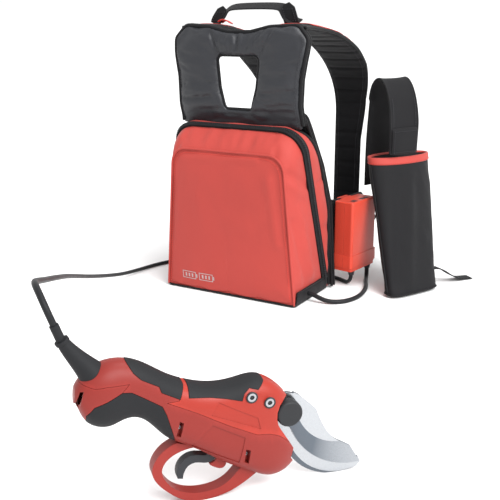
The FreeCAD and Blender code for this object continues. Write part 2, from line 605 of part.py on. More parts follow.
def build_bag():
    """Front compartment, zip track, rear gusset, base wrap and the padded back panel."""
    front_wire = panel_wire(FRONT_LOW, FRONT_HIGH, BAG_HALF, 111.0, 30.0)
    zip_wire = panel_wire(ZIP_LOW, ZIP_HIGH, BAG_HALF, 127.0, 44.0)
    front = Part.makeLoft([front_wire, zip_wire], True, True)
    hollow_front = Part.makeLoft([
        panel_wire(shifted(FRONT_LOW, FABRIC), shifted(FRONT_HIGH, FABRIC), BAG_HALF, 111.0, 30.0,
                   FABRIC, 0.0),
        panel_wire(shifted(ZIP_LOW, ZIP_WIDTH + 1), shifted(ZIP_HIGH, ZIP_WIDTH + 1), BAG_HALF,
                   127.0, 44.0, FABRIC, 0.0)], True, True)
    add("bag_front", front.cut(hollow_front))

    track = Part.makeLoft([
        panel_wire(shifted(ZIP_LOW, 0.1), shifted(ZIP_HIGH, 0.1), BAG_HALF + 1.2, 128.2, 45.0,
                   -0.4, 16.0),
        panel_wire(shifted(ZIP_LOW, ZIP_WIDTH), shifted(ZIP_HIGH, ZIP_WIDTH), BAG_HALF + 1.2,
                   128.2, 45.0, -0.4, 16.0)], True, True)
    track = track.cut(hollow_front).cut(block((-124, -100, -5), (124, 120, 100)))
    track = track.cut(block((-200, -100, -5), (200, 120, BASE_RIM + 0.4)))
    add("zip_track", track)

    outline_wire = panel_wire((120.0, 4.2), (120.0, 300.0), BAG_HALF, 127.0, 44.0)
    outline = Part.Face(outline_wire).extrude(Vector(0, -300, 0))
    zip_back_low = shifted(ZIP_LOW, ZIP_WIDTH + 0.1)
    zip_back_high = shifted(ZIP_HIGH, ZIP_WIDTH + 0.1)
    rear = yz_prism((zip_back_low,) + REAR + ((-30.0, 299.0), zip_back_high), 150.0).common(outline)
    inner_outline = Part.Face(panel_wire((120.0, 4.2), (120.0, 300.0), BAG_HALF, 127.0, 44.0,
                                         FABRIC, 0.0)).extrude(Vector(0, -300, 0))
    hollow_rear = yz_prism(((zip_back_low[0] - 12, 4.0), (57.0, 4.0), (55.0, 149.0),
                            (27.5, 224.0), (-13.0, 290.0), (-32.0, 293.5),
                            (zip_back_high[0] - 12, 296.0)), 150.0).common(inner_outline)
    add("bag_rear", rear.cut(hollow_rear))

    plate = block((-BAG_HALF - 1.6, -70.0, 0.0), (BAG_HALF + 1.6, 62.4, BASE_THICK))
    rim = block((-BAG_HALF - 1.6, -58.0, BASE_THICK - 0.1), (BAG_HALF + 1.6, 62.4, BASE_RIM))
    rim = rim.cut(block((-BAG_HALF - 0.1, -80.0, 0.0), (BAG_HALF + 0.1, 61.2, 60.0)))
    add("bag_base", fuse([plate, rim]))

    gap = 1.6
    face = [(y + gap, z) for y, z in REAR]
    face[0] = (REAR[0][0] + gap + 0.2, 2.0)
    face.append((YOKE_FRONT + YOKE_THICK + 0.3, 318.0))
    back = [(79.0, 2.0), (76.0, 154.0), (47.0, 233.0), (4.0, 304.0), (-14.0, 330.0),
            (YOKE_FRONT + YOKE_THICK + 0.3, 330.0)]
    panel = yz_prism(face + back[::-1], 150.0)
    outline = Part.Face(panel_wire((120.0, 2.0), (120.0, 332.0), 140.0, 121.0, 12.0)).extrude(
        Vector(0, -300, 0))
    add("back_panel", panel.common(outline))

    pulls = []
    rise = Vector(0, ZIP_HIGH[0] - ZIP_LOW[0], ZIP_HIGH[1] - ZIP_LOW[1])
    rise.normalize()
    turn = Rotation(Vector(-1, 0, 0).cross(rise) * -1, rise, Vector(-1, 0, 0), "ZYX")
    for height, sign in SLIDER_HEIGHTS:
        slider = block((-4.2, -5.0, 0.0), (4.2, 5.0, 2.6))
        tab = block((-2.6, -2.0, 2.5), (2.6, 0.2, 4.6))
        grip = block((-3.0, -24.0, 3.0), (3.0, 0.2, 4.4))
        pull = fuse([slider, tab, grip])
        share = (height - ZIP_LOW[1]) / (ZIP_HIGH[1] - ZIP_LOW[1])
        edge = BAG_HALF + 1.7 - 6.0 * share
        middle_y = ZIP_LOW[0] + (ZIP_HIGH[0] - ZIP_LOW[0]) * share + ZIP_WIDTH / 2
        pull.Placement = Placement(Vector(-edge, middle_y, height), turn.multiply(
            Rotation(Vector(0, 0, 1), 0 if sign > 0 else 180)))
        pulls.append(pull)
    add("zip_sliders", group(pulls))


def build_batteries():
    """Two battery packs side by side in an upright holder at the bottom of the bag."""
    width, depth, height = BATTERY
    floor = BASE_THICK + 6.0
    gap = 6.0
    back = 44.0
    frame_low = Vector(-width - gap - 4.0, back - depth - 9.0, BASE_THICK + 0.6)
    holder = block(tuple(frame_low), (width + gap + 4.0, back + 4.0, 78.0))
    holder = holder.cut(block((-width - gap + 2.4, back - depth - 4.4, floor - 0.4),
                              (-gap + 2.6, back + 0.4, 90.0)))
    holder = holder.cut(block((gap - 2.6, back - depth - 4.4, floor - 0.4),
                              (width + gap - 2.4, back + 0.4, 90.0)))
    add("battery_holder", holder)
    for name, x_low in (("battery_left", -width - gap + 3.0), ("battery_right", gap - 2.0)):
        low = Vector(x_low, back - depth - 3.8, floor)
        body = block(tuple(low), tuple(low + Vector(width - 6.0, depth + 3.6, height)))
        body = body.makeFillet(5.0, [edge for edge in body.Edges
                                     if edge.BoundBox.ZLength > height - 1])
        latch = block((x_low + 22.0, low.y - 1.6, floor + height - 22.0),
                      (x_low + width - 28.0, low.y + 1.0, floor + height - 8.0))
        add(name, fuse([body, latch]))


# ---------------------------------------------------------------- harness
def front_prism(outline, y_low, y_high):
    """A block with a front view outline (X, Z)."""
    points = [Vector(x, y_low, z) for x, z in outline]
    return Part.Face(Part.makePolygon(points + points[:1])).extrude(Vector(0, y_high - y_low, 0))


def build_yoke():
    """The padded yoke above the bag, with its neck opening."""
    right = [(120.0, YOKE_LOW), (119.0, 345.0), (120.5, 385.0), (126.0, 430.0), (122.0, 458.0),
             (112.0, YOKE_HIGH)]
    crown = [(112.0, YOKE_HIGH), (60.0, 470.0), (20.0, 461.0), (-20.0, 461.0), (-60.0, 470.0),
             (-112.0, YOKE_HIGH)]
    left = [(-x, z) for x, z in reversed(right)]
    body = curved_prism([right, crown, left, [left[-1], right[0]]], YOKE_FRONT,
                        YOKE_FRONT + YOKE_THICK)
    opening = [(-42.0, 422.0), (42.0, 422.0), (36.0, 368.0), (26.0, 330.0), (-26.0, 330.0),
               (-36.0, 368.0)]
    hole = front_prism(opening, YOKE_FRONT - 5, YOKE_FRONT + YOKE_THICK + 5)
    hole = hole.makeFillet(9.0, [edge for edge in hole.Edges if edge.BoundBox.YLength > 20])
    add("yoke", body.cut(hole))


def strap_curve(x, offset):
    """One side view edge of a strap: level at the yoke, falling over the shoulder, then upright."""
    reach = STRAP_FRONT - STRAP_CREST
    points = []
    for index in range(CURVE_POINTS + 1):
        turn = math.pi / 2 * (1 - index / CURVE_POINTS)
        normal = Vector(0, math.cos(turn) / reach, math.sin(turn) / STRAP_DROP)
        normal.normalize()
        points.append(Vector(x, STRAP_CREST + reach * math.cos(turn),
                             STRAP_TOP - STRAP_DROP * (1 - math.sin(turn))) + normal * offset)
    curve = Part.BSplineCurve()
    curve.interpolate(points, InitialTangent=Vector(0, 1, 0), FinalTangent=Vector(0, 0, -1))
    start = Vector(x, YOKE_FRONT + YOKE_THICK + 0.2, STRAP_TOP + offset)
    end = Vector(x, STRAP_FRONT + offset, STRAP_END)
    edges = [Part.LineSegment(start, points[0]).toShape(), curve.toShape(),
             Part.LineSegment(points[-1], end).toShape()]
    return start, edges, end


def strap_band(thick, x_low, x_high):
    """The side view band of a shoulder strap: over the shoulder and down the chest."""
    outer_start, outer, outer_end = strap_curve(x_low, thick / 2)
    inner_start, inner, inner_end = strap_curve(x_low, -thick / 2)
    closing = [Part.LineSegment(outer_end, inner_end).toShape(),
               Part.LineSegment(inner_start, outer_start).toShape()]
    wire = Part.Wire(Part.__sortEdges__(outer + inner + closing))
    return Part.Face(wire).extrude(Vector(x_high - x_low, 0, 0))


def build_straps():
    """Two shoulder straps that narrow towards the chest, and the carry handle on top."""
    taper = ((STRAP_INNER, 500.0), (STRAP_OUTER, 500.0), (STRAP_WIDEST - 4.0, 456.0),
             (STRAP_WIDEST, 430.0), (STRAP_WIDEST - 4.0, 400.0), (STRAP_NARROW + 10.0, 330.0),
             (STRAP_NARROW, 250.0), (STRAP_NARROW, STRAP_END - 1),
             (STRAP_INNER + 2.0, STRAP_END - 1), (STRAP_INNER + 1.0, 340.0))
    for name, sign in (("shoulder_strap_right", 1), ("shoulder_strap_left", -1)):
        band = strap_band(STRAP_THICK, -STRAP_WIDEST - 1, STRAP_WIDEST + 1)
        outline = [(sign * x, z) for x, z in taper]
        add(name, band.common(front_prism(outline, -60.0, 300.0)))

    base = STRAP_TOP + STRAP_THICK / 2 + 0.3
    outer = [(-88.0, base - 6.0), (-88.0, base + 3.0), (-74.0, base + 6.0), (-58.0, base + 27.0),
             (-46.0, base + 31.0), (46.0, base + 31.0), (58.0, base + 27.0), (74.0, base + 6.0),
             (88.0, base + 3.0), (88.0, base - 6.0)]
    inner = [(70.0, base - 6.0), (70.0, base), (54.0, base + 23.0), (44.0, base + 27.0),
             (-44.0, base + 27.0), (-54.0, base + 23.0), (-70.0, base), (-70.0, base - 6.0)]
    handle = front_prism(outer + inner, 14.0, 38.0)
    add("carry_handle", handle.cut(strap_band(STRAP_THICK + 0.5, -STRAP_OUTER, STRAP_OUTER)))


BELT_ROUTE = ((96.0, 83.0), (117.0, 84.5), (129.0, 89.0), (132.0, 98.2), (143.2, 178.0),
              (143.0, 222.0), (132.0, 258.0), (110.0, 277.6), (70.0, 280.0))


def offset_route(route, amount):
    """A plan view polyline moved sideways."""
    moved = []
    for index, (x, y) in enumerate(route):
        before = route[max(index - 1, 0)]
        after = route[min(index + 1, len(route) - 1)]
        dx = after[0] - before[0]
        dy = after[1] - before[1]
        length = math.hypot(dx, dy)
        moved.append((x + amount * dy / length, y - amount * dx / length))
    return moved


def build_belt():
    """Padded belt wings round the hips, joined by a buckle in front, and the loose tail."""
    outline = offset_route(BELT_ROUTE, BELT_THICK / 2)
    outline += reversed(offset_route(BELT_ROUTE, -BELT_THICK / 2))
    points = [Vector(x, y, 58.0) for x, y in outline]
    band = Part.Face(Part.makePolygon(points + points[:1])).extrude(Vector(0, 0, 92.0))
    taper = [(60.0, 50.0), (185.0, 50.0), (225.0, 72.0), (300.0, 80.0), (300.0, 118.0),
             (225.0, 126.0), (185.0, 160.0), (60.0, 160.0)]
    band = band.common(yz_prism(taper, 200.0))
    add("waist_belt_right", band)
    add("waist_belt_left", band.mirror(Vector(0, 0, 0), Vector(1, 0, 0)))

    half = BELT_THICK / 2
    socket = block((-24.0, 274.0, 82.0), (2.0, 286.0, 116.0))
    plug = block((2.4, 276.0, 86.0), (22.0, 284.0, 112.0))
    web_right = block((22.4, 280.0 - half / 2, 88.0), (69.4, 280.0 + half / 2, 110.0))
    web_left = block((-69.4, 280.0 - half / 2, 88.0), (-24.4, 280.0 + half / 2, 110.0))
    add("waist_buckle", group([socket, fuse([plug, web_right.translated(Vector(-0.5, 0, 0))]),
                               web_left]))

    tail_side = [(-20.0, 35.0), (0.0, 34.0), (16.0, 30.0), (36.0, 16.0), (56.0, 6.0), (84.0, 3.4),
                 (84.0, 0.4), (54.0, 1.0), (32.0, 12.0), (14.0, 26.0), (0.0, 30.0), (-20.0, 31.0)]
    tail = front_prism(tail_side, -12.0, 12.0)
    tail.Placement = Placement(Vector(296.0, 187.0, 0.0), Rotation(Vector(0, 0, 1), 54.0))
    tail = tail.cut(holster_loft(0.15, HOLSTER_BOTTOM.z, HOLSTER_TOP.z))
    add("belt_tail", max(tail.Solids, key=lambda solid: solid.CenterOfMass.x))


# ---------------------------------------------------------------- holster
def oval(centre, long_axis, short_axis):
    """A horizontal oval wire, its long side along the holster's heading."""
    heading = Rotation(Vector(0, 0, 1), HOLSTER_TURN)
    ellipse = Part.Ellipse(Vector(0, 0, 0), long_axis / 2, short_axis / 2).toShape()
    wire = Part.Wire(ellipse)
    wire.Placement = Placement(centre, heading)
    return wire


def holster_loft(grow, z_low, z_high):
    """The tapered holster body between two heights, grown by a margin."""
    wires = []
    for z in (z_low, (z_low + z_high) / 2, z_high):
        share = (z - HOLSTER_BOTTOM.z) / (HOLSTER_TOP.z - HOLSTER_BOTTOM.z)
        centre = HOLSTER_BOTTOM + (HOLSTER_TOP - HOLSTER_BOTTOM) * share
        long_axis = HOLSTER_TOE[0] + (HOLSTER_MOUTH[0] - HOLSTER_TOE[0]) * share
        short_axis = HOLSTER_TOE[1] + (HOLSTER_MOUTH[1] - HOLSTER_TOE[1]) * share
        wires.append(oval(centre, long_axis + 2 * grow, short_axis + 2 * grow))
    return Part.makeLoft(wires, True, False)


def build_holster():
    """The tapered holster, its rim band and the strap flap that closes over the mouth."""
    top = HOLSTER_TOP.z
    low = HOLSTER_BOTTOM.z
    body = holster_loft(0.0, low, top)
    add("holster_shell", body.cut(holster_loft(-HOLSTER_WALL, low + 4.0, top + 1.0)))
    rim = holster_loft(1.6, top - RIM_HIGH, top).cut(holster_loft(0.1, top - RIM_HIGH - 1, top + 1))
    add("holster_rim", rim)

    outer = [(34.0, 250.0), (34.0, 300.0), (27.0, 340.0), (14.0, 368.0), (-4.0, 380.0),
             (-22.0, 366.0), (-31.0, 330.0), (-34.0, 280.0), (-34.0, 160.0)]
    inner = [(-30.8, 160.0), (-30.8, 280.0), (-27.5, 328.0), (-19.0, 361.0), (-4.0, 375.5),
             (11.0, 364.0), (23.5, 338.0), (30.0, 299.0), (30.0, 250.0)]
    band = curved_flap(outer, inner, 34.0)
    heading = Rotation(Vector(0, 0, 1), HOLSTER_TURN - 90.0)
    band.Placement = Placement(Vector(HOLSTER_TOP.x, HOLSTER_TOP.y, 0.0), heading)
    add("holster_flap", band.cut(holster_loft(2.0, low, top)))


def curved_flap(outer, inner, half_width):
    """A bent band: outer and inner lines across the holster (out, Z), given a width."""
    spans = [outer, [outer[-1], inner[0]], inner, [inner[-1], outer[0]]]
    return curved_prism(spans, -half_width, half_width)


# ---------------------------------------------------------------- controller
def build_controller():
    """The belt controller: two shells, belt hook, buttons, board and cable glands."""
    depth, width, height = CONTROL
    case = block((-depth, 0, 0), (0, width, height))
    uprights = [edge for edge in case.Edges if edge.BoundBox.ZLength > height - 1]
    case = case.makeFillet(4.5, uprights)
    crown = [edge for edge in case.Edges if edge.BoundBox.ZMin > height - 0.01]
    case = case.makeFillet(2.5, crown)
    skirt = block((-depth - 0.8, -0.8, 6.0), (0.8, width + 0.8, 30.0))
    skirt = skirt.makeFillet(4.5, [edge for edge in skirt.Edges if edge.BoundBox.ZLength > 20])
    outlet = block((-28.0, width - 14.0, 6.0), (-3.0, width + 11.0, 28.0))
    outlet = outlet.makeFillet(4.0, [edge for edge in outlet.Edges if edge.BoundBox.ZLength > 20])
    case = fuse([case, skirt, outlet])
    wall = CONTROL_WALL
    hollow = block((-depth + wall, wall, wall), (-wall, width - wall, height - wall))
    shell = case.cut(hollow)
    wells = [block((-15.2, y_low - 0.2, height - 5), (-5.8, y_high + 0.2, height + 5))
             for _, y_low, y_high in BUTTONS]
    split = -CONTROL_SPLIT
    front = shell.common(block((split + 0.1, -20, -20), (40, 120, 200))).cut(fuse(wells))
    back = shell.common(block((-80, -20, -20), (split - 0.1, 120, 200)))
    hook = fuse([block((-depth - 11.0, 26.0, 129.0), (-depth + 3.0, 58.0, height - 0.0)),
                 block((-depth - 11.0, 26.0, 80.0), (-depth - 8.4, 58.0, height - 0.5))])
    back = fuse([back, hook.cut(hollow)])
    glands = []
    for x, y in GLAND_PLACES:
        front = front.cut(Part.makeCylinder(5.6, 12.0, Vector(x, y, -2.0)))
        gland = fuse([Part.makeCylinder(5.5, 8.0, Vector(x, y, -2.0)),
                      Part.makeCylinder(6.8, 3.0, Vector(x, y, -3.0)),
                      Part.makeCone(5.0, 6.2, GLAND_LONG - 2.6, Vector(x, y, -GLAND_LONG))])
        glands.append(gland.cut(Part.makeCylinder(x_bore(y), 9.0, Vector(x, y, -GLAND_LONG - 1))))
    add("controller_front", front, CONTROL_PLACE)
    add("controller_back", back, CONTROL_PLACE)
    add("cable_glands", group(glands), CONTROL_PLACE)
    for name, y_low, y_high in BUTTONS:
        cap = block((-14.9, y_low, height - 4.5), (-6.1, y_high, height + 0.4))
        cap = cap.makeFillet(0.8, [edge for edge in cap.Edges if edge.BoundBox.ZLength < 0.01
                                   and edge.BoundBox.ZMin > height])
        add(name, cap, CONTROL_PLACE)
    board = block((-24.0, 6.0, 24.0), (-22.4, width - 6.0, height - 10.0))
    chips = [block((-22.5, 14.0 + 20.0 * index, 60.0), (-19.5, 26.0 + 20.0 * index, 74.0))
             for index in range(3)]
    add("controller_board", fuse([board, *chips]), CONTROL_PLACE)


def x_bore(y):
    """Radius of the cord bore in the gland at y."""
    return (CORD_D if y < 40.0 else BATTERY_CORD_D) / 2 + 0.05


# ---------------------------------------------------------------- cords
def cord_tube(name, points, diameter):
    """A tube along straight runs joined by tangent arcs, with its radii printed."""
    points = [Vector(*point) for point in points]
    edges = []
    start = points[0]
    radii = []
    for before, corner, after in zip(points, points[1:], points[2:]):
        run_in = corner - before
        run_out = after - corner
        shorter = min(run_in.Length, run_out.Length)
        turn = run_in.getAngle(run_out)
        tangent = 0.45 * shorter
        radii.append(tangent / math.tan(turn / 2))
        run_in.normalize()
        run_out.normalize()
        first = corner - run_in * tangent
        last = corner + run_out * tangent
        bisector = run_out - run_in
        bisector.normalize()
        bulge = radii[-1] * (1 / math.cos(turn / 2) - 1)
        edges.append(Part.LineSegment(start, first).toShape())
        edges.append(Part.Arc(first, corner + bisector * bulge, last).toShape())
        start = last
    edges.append(Part.LineSegment(start, points[-1]).toShape())
    path = Part.Wire(edges)
    circle = Part.Circle(points[0], points[1] - points[0], diameter / 2)
    tube = path.makePipeShell([Part.Wire(circle.toShape())], True, True)
    share = tube.Volume / (path.Length * math.pi * diameter ** 2 / 4)
    print(name, "length", round(path.Length, 1), "volume share", round(share, 4), "radii",
          [round(radius) for radius in radii])
    return tube


CORD_HIGH = 3.6                       # axis height of the pruner cord on the ground
BATTERY_CORD_HIGH = 4.1
TOOL_SIDE = ((211.5, -742.0, 226.5), (202.0, -738.0, 235.0), (190.0, -730.0, 238.5),
             (176.0, -717.0, 236.0), (157.0, -696.0, 228.0), (132.0, -665.0, 216.0),
             (101.0, -625.0, 201.0), (63.0, -575.0, 183.0), (20.0, -518.0, 162.0),
             (-25.0, -459.0, 140.0), (-69.0, -400.0, 117.0), (-110.0, -340.0, 94.0),
             (-148.0, -279.0, 71.0), (-181.0, -216.0, 49.0), (-207.0, -153.0, 29.0),
             (-224.0, -92.0, 13.0), (-231.0, -34.0, 5.0), (-225.0, 22.0, CORD_HIGH),
             (-204.0, 72.0, CORD_HIGH), (-167.0, 105.0, CORD_HIGH), (-119.0, 121.0, CORD_HIGH),
             (-65.0, 122.0, CORD_HIGH), (-9.0, 117.0, CORD_HIGH), (47.0, 120.0, CORD_HIGH),
             (91.0, 122.0, CORD_HIGH), (121.0, 118.5, CORD_HIGH), (139.0, 111.5, CORD_HIGH),
             (154.8, 101.4, CORD_HIGH), (161.9, 97.5, 8.4))
BATTERY_SIDE = ((175.7, 148.2, 8.6), (178.3, 140.4, BATTERY_CORD_HIGH),
                (184.0, 124.0, BATTERY_CORD_HIGH), (196.0, 98.0, BATTERY_CORD_HIGH),
                (205.0, 67.0, BATTERY_CORD_HIGH), (208.0, 35.0, BATTERY_CORD_HIGH),
                (202.0, 7.0, BATTERY_CORD_HIGH), (189.0, -12.0, BATTERY_CORD_HIGH),
                (172.0, -22.0, 5.4), (156.0, -24.0, 10.0), (145.0, -22.4, 13.6))
BATTERY_INLET = (-22.0, 14.0)         # where the battery cable enters the bag's side (Y, Z)
GLAND_BEND = 16.6                     # height where a cord turns straight up into its gland
GLAND_INSIDE = 30.0                   # height where a cord ends inside its gland
CORD_SPLIT_Y = -432.0                 # where the lifted end of the pruner cord begins


def build_cords():
    """The pruner cord in two solids that meet in the air, and the battery cable."""
    start = TOOL_PLACE.multVec(side(BOOT_END))
    way = start - TOOL_PLACE.multVec(side(BOOT_ROOT))
    way.normalize()
    gland = CONTROL_PLACE.multVec(Vector(GLAND_PLACES[0][0], GLAND_PLACES[0][1], 0))
    route = [start - way * 8.0, start + way * 8.0, *TOOL_SIDE]
    route += [(gland.x, gland.y, GLAND_BEND), (gland.x, gland.y, GLAND_INSIDE)]
    whole = cord_tube("pruner_cord", route, CORD_D)
    near = block((-400, CORD_SPLIT_Y - 700, -10), (500, CORD_SPLIT_Y - 0.1, 400))
    far = block((-400, CORD_SPLIT_Y + 0.1, -10), (500, 400, 400))
    add("pruner_cable_a", whole.common(near))
    add("pruner_cable_b", whole.common(far))

    gland = CONTROL_PLACE.multVec(Vector(GLAND_PLACES[1][0], GLAND_PLACES[1][1], 0))
    inlet_y, inlet_z = BATTERY_INLET
    route = [(gland.x, gland.y, GLAND_INSIDE), (gland.x, gland.y, GLAND_BEND), *BATTERY_SIDE,
             (BAG_HALF + 1.8, inlet_y, inlet_z)]
    add("battery_cable", cord_tube("battery_cord", route, BATTERY_CORD_D))


# ---------------------------------------------------------------- build everything
build_casing()
build_guard()
build_blades()
build_drive()
build_trigger()
build_fasteners()
build_boot()
build_bag()
build_batteries()
build_yoke()
build_straps()
build_belt()
build_holster()
build_controller()
build_cords()

os.makedirs("parts", exist_ok=True)
for name, shape in parts.items():
    good = shape.isValid() and all(solid.Volume > 0 for solid in shape.Solids)
    print(name, "solids", len(shape.Solids), "volume", round(shape.Volume), "ok" if good else "BAD")
    shape.exportStep("parts/" + name + ".step")
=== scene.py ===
import math

import bmesh
import bpy
import numpy as np
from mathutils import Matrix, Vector, noise
from mathutils.bvhtree import BVHTree


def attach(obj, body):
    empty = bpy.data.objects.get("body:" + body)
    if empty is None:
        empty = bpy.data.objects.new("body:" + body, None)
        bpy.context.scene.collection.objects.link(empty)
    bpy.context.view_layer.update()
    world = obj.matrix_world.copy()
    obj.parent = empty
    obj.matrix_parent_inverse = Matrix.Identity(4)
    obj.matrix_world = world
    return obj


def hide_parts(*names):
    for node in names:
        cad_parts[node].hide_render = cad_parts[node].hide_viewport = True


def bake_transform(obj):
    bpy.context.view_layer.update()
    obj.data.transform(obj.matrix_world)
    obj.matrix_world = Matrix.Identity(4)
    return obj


# Battery electric pruner with its backpack power supply. Metres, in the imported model's frame:
# +X the wearer's right, +Y towards the wearer, +Z up.
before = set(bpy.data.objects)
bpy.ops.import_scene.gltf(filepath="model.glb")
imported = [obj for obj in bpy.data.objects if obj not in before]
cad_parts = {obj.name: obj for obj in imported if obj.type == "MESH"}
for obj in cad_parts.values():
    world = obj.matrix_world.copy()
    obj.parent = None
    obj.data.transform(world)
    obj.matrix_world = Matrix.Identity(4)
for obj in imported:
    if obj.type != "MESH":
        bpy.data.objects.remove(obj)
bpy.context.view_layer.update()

MM = 0.001
TOOL_FOOT = Vector((0.304, -0.645, 0.0))
TOOL_TURN = math.radians(48.0)
TOOL_RIGHT = (math.sin(TOOL_TURN), -math.cos(TOOL_TURN), 0.0)


# ---------------------------------------------------------------- camera
CAMERA_PLACE = (0.7345, -1.2672, 0.480)
CAMERA_TILT, CAMERA_TURN = 74.34, 30.0       # degrees from looking straight down, and from +Y
CAMERA_LENS = 59.04


def link(name, data):
    """A new object in the scene that shows some data."""
    obj = bpy.data.objects.new(name, data)
    bpy.context.scene.collection.objects.link(obj)
    return obj


def make_camera():
    """The camera that sees the set from its front right."""
    camera = link("camera", bpy.data.cameras.new("camera"))
    camera.location = CAMERA_PLACE
    camera.rotation_euler = (math.radians(CAMERA_TILT), 0.0, math.radians(CAMERA_TURN))
    camera.data.sensor_width = 36.0
    camera.data.lens = CAMERA_LENS
    bpy.context.scene.camera = camera


# ---------------------------------------------------------------- mesh helpers
def mm(points):
    """Points given in millimetres as an array in metres."""
    return np.array(points, float) * MM


def spots(x, y, z):
    """A row of points in metres from millimetres, each given as one number or as a row."""
    return mm(np.column_stack(np.broadcast_arrays(x, y, z)))


def new_mesh(name, points, faces, uvs=None):
    """A smooth shaded mesh object from points and faces, with UVs in metres."""
    mesh = bpy.data.meshes.new(name)
    mesh.from_pydata([tuple(p) for p in points], [], [tuple(f) for f in faces])
    mesh.polygons.foreach_set("use_smooth", [True] * len(mesh.polygons))
    if uvs is not None:
        layer = mesh.uv_layers.new(name="cloth")
        index = np.zeros(len(mesh.loops), int)
        mesh.loops.foreach_get("vertex_index", index)
        layer.data.foreach_set("uv", np.asarray(uvs, float)[index].ravel())
    mesh.update()
    return link(name, mesh)


def lengths(points):
    """The distance along a row of points at each of them."""
    steps = np.linalg.norm(np.diff(points, axis=0), axis=1)
    return np.concatenate([[0.0], np.cumsum(steps)])


def grid(name, rows, around=False, cap_ends=False):
    """A surface through rows of points; around joins each row's last point to its first."""
    rows = np.asarray(rows, float)
    count, width = rows.shape[:2]
    faces = []
    span = width if around else width - 1
    for i in range(count - 1):
        for j in range(span):
            k = (j + 1) % width
            faces.append((i * width + j, i * width + k, (i + 1) * width + k, (i + 1) * width + j))
    if cap_ends:
        faces.append(tuple(range(width - 1, -1, -1)))
        faces.append(tuple((count - 1) * width + j for j in range(width)))
    along = lengths(rows[:, width // 2])
    across = lengths(rows[count // 2])
    uvs = [(across[j], along[i]) for i in range(count) for j in range(width)]
    return new_mesh(name, rows.reshape(-1, 3), faces, uvs)


def resample(points, spacing, closed=False, smooth=0):
    """Points a set distance apart along a polyline, after corner cutting passes."""
    points = np.asarray(points, float)
    for _ in range(smooth):
        ends = (points[0], points[-1])
        after = np.roll(points, -1, axis=0)
        if not closed:
            points, after = points[:-1], after[:-1]
        cut = np.stack([points * 0.75 + after * 0.25, points * 0.25 + after * 0.75], 1)
        points = cut.reshape(-1, 3)
        if not closed:
            points = np.vstack([ends[:1], points, ends[1:]])
    if closed:
        points = np.vstack([points, points[:1]])
    at = lengths(points)
    count = max(3, int(round(at[-1] / spacing)))
    where = np.linspace(0, at[-1], count + 1)[: count if closed else count + 1]
    return np.stack([np.interp(where, at, points[:, axis]) for axis in range(3)], 1)


def directions(path, closed=False):
    """Unit directions along a path."""
    if closed:
        ways = np.roll(path, -1, axis=0) - np.roll(path, 1, axis=0)
    else:
        ways = np.gradient(path, axis=0)
    return ways / np.maximum(np.linalg.norm(ways, axis=1, keepdims=True), 1e-9)


def frames(path, closed=False, up=None):
    """Two directions square to the path at each point: along up where it is given."""
    ways = directions(path, closed)
    if up is not None:
        up = np.broadcast_to(np.asarray(up, float), path.shape)
        side = np.cross(ways, up)
        side /= np.maximum(np.linalg.norm(side, axis=1, keepdims=True), 1e-9)
        return side, np.cross(side, ways)
    side = np.zeros_like(path)
    axis = np.eye(3)[np.argmin(np.abs(ways[0]))]
    last = np.cross(ways[0], axis)
    for i, way in enumerate(ways):
        last = last - way * np.dot(last, way)
        last = last / np.linalg.norm(last)
        side[i] = last
    return side, np.cross(ways, side)


def sweep(name, path, section, closed=False, up=None, scale=None):
    """A section of (side, up) points carried along a path."""
    path = np.asarray(path, float)
    side, high = frames(path, closed, up)
    section = np.asarray(section, float)
    scale = np.ones(len(path)) if scale is None else np.asarray(scale, float)
    rows = (path[:, None] + side[:, None] * section[None, :, :1] * scale[:, None, None]
            + high[:, None] * section[None, :, 1:] * scale[:, None, None])
    if closed:
        rows = np.concatenate([rows, rows[:1]])
    return grid(name, rows, around=True, cap_ends=not closed)


def circle(radius, sides=10):
    """A round section."""
    turns = np.arange(sides) * 2 * math.pi / sides
    return np.stack([np.cos(turns), np.sin(turns)], 1) * radius


def slab(width, thick, power=5.0, sides=28):
    """A flat section with rounded edges."""
    turns = np.arange(sides) * 2 * math.pi / sides
    c, s = np.cos(turns), np.sin(turns)
    x = np.sign(c) * np.abs(c) ** (2 / power) * width / 2
    y = np.sign(s) * np.abs(s) ** (2 / power) * thick / 2
    return np.stack([x, y], 1)


def stitches(name, lines, pitch=0.0042, long=0.0030, thick=0.00055):
    """Rows of thread: one small spindle per stitch along each line of (points, normals)."""
    points, faces = [], []
    for path, lift in lines:
        marks = resample(path, pitch)
        ways = directions(marks)
        lift = np.asarray(lift, float)
        for mark, way in zip(marks, ways):
            base = len(points)
            up = lift / np.linalg.norm(lift)
            across = np.cross(way, up)
            across /= max(np.linalg.norm(across), 1e-9)
            up = np.cross(across, way)
            points.append(mark - way * long / 2)
            for share in (-0.28, 0.28):
                for turn in range(4):
                    angle = turn * math.pi / 2 + math.pi / 4
                    ring = (across * math.cos(angle) + up * math.sin(angle)) * thick
                    points.append(mark + way * long * share + ring)
            points.append(mark + way * long / 2)
            for turn in range(4):
                after = (turn + 1) % 4
                faces.append((base, base + 1 + turn, base + 1 + after))
                faces.append((base + 1 + turn, base + 5 + turn, base + 5 + after, base + 1 + after))
                faces.append((base + 5 + turn, base + 9, base + 5 + after))
    return new_mesh(name, points, faces, [(p[0], p[2]) for p in points])


def smoothstep(value, low, high):
    """0 below low, 1 above high, and smooth between."""
    t = np.clip((value - low) / (high - low), 0.0, 1.0)
    return t * t * (3 - 2 * t)


def ripple(points, scale, seed):
    """Smooth noise from -1 to 1 at each point."""
    shift = Vector((seed * 7.31, seed * 3.17, seed * 1.73))
    return np.array([noise.noise(Vector(p) * scale + shift) for p in points])


SWELL_FRAMES = 16
CLOTH_STIFFNESS = 12.0


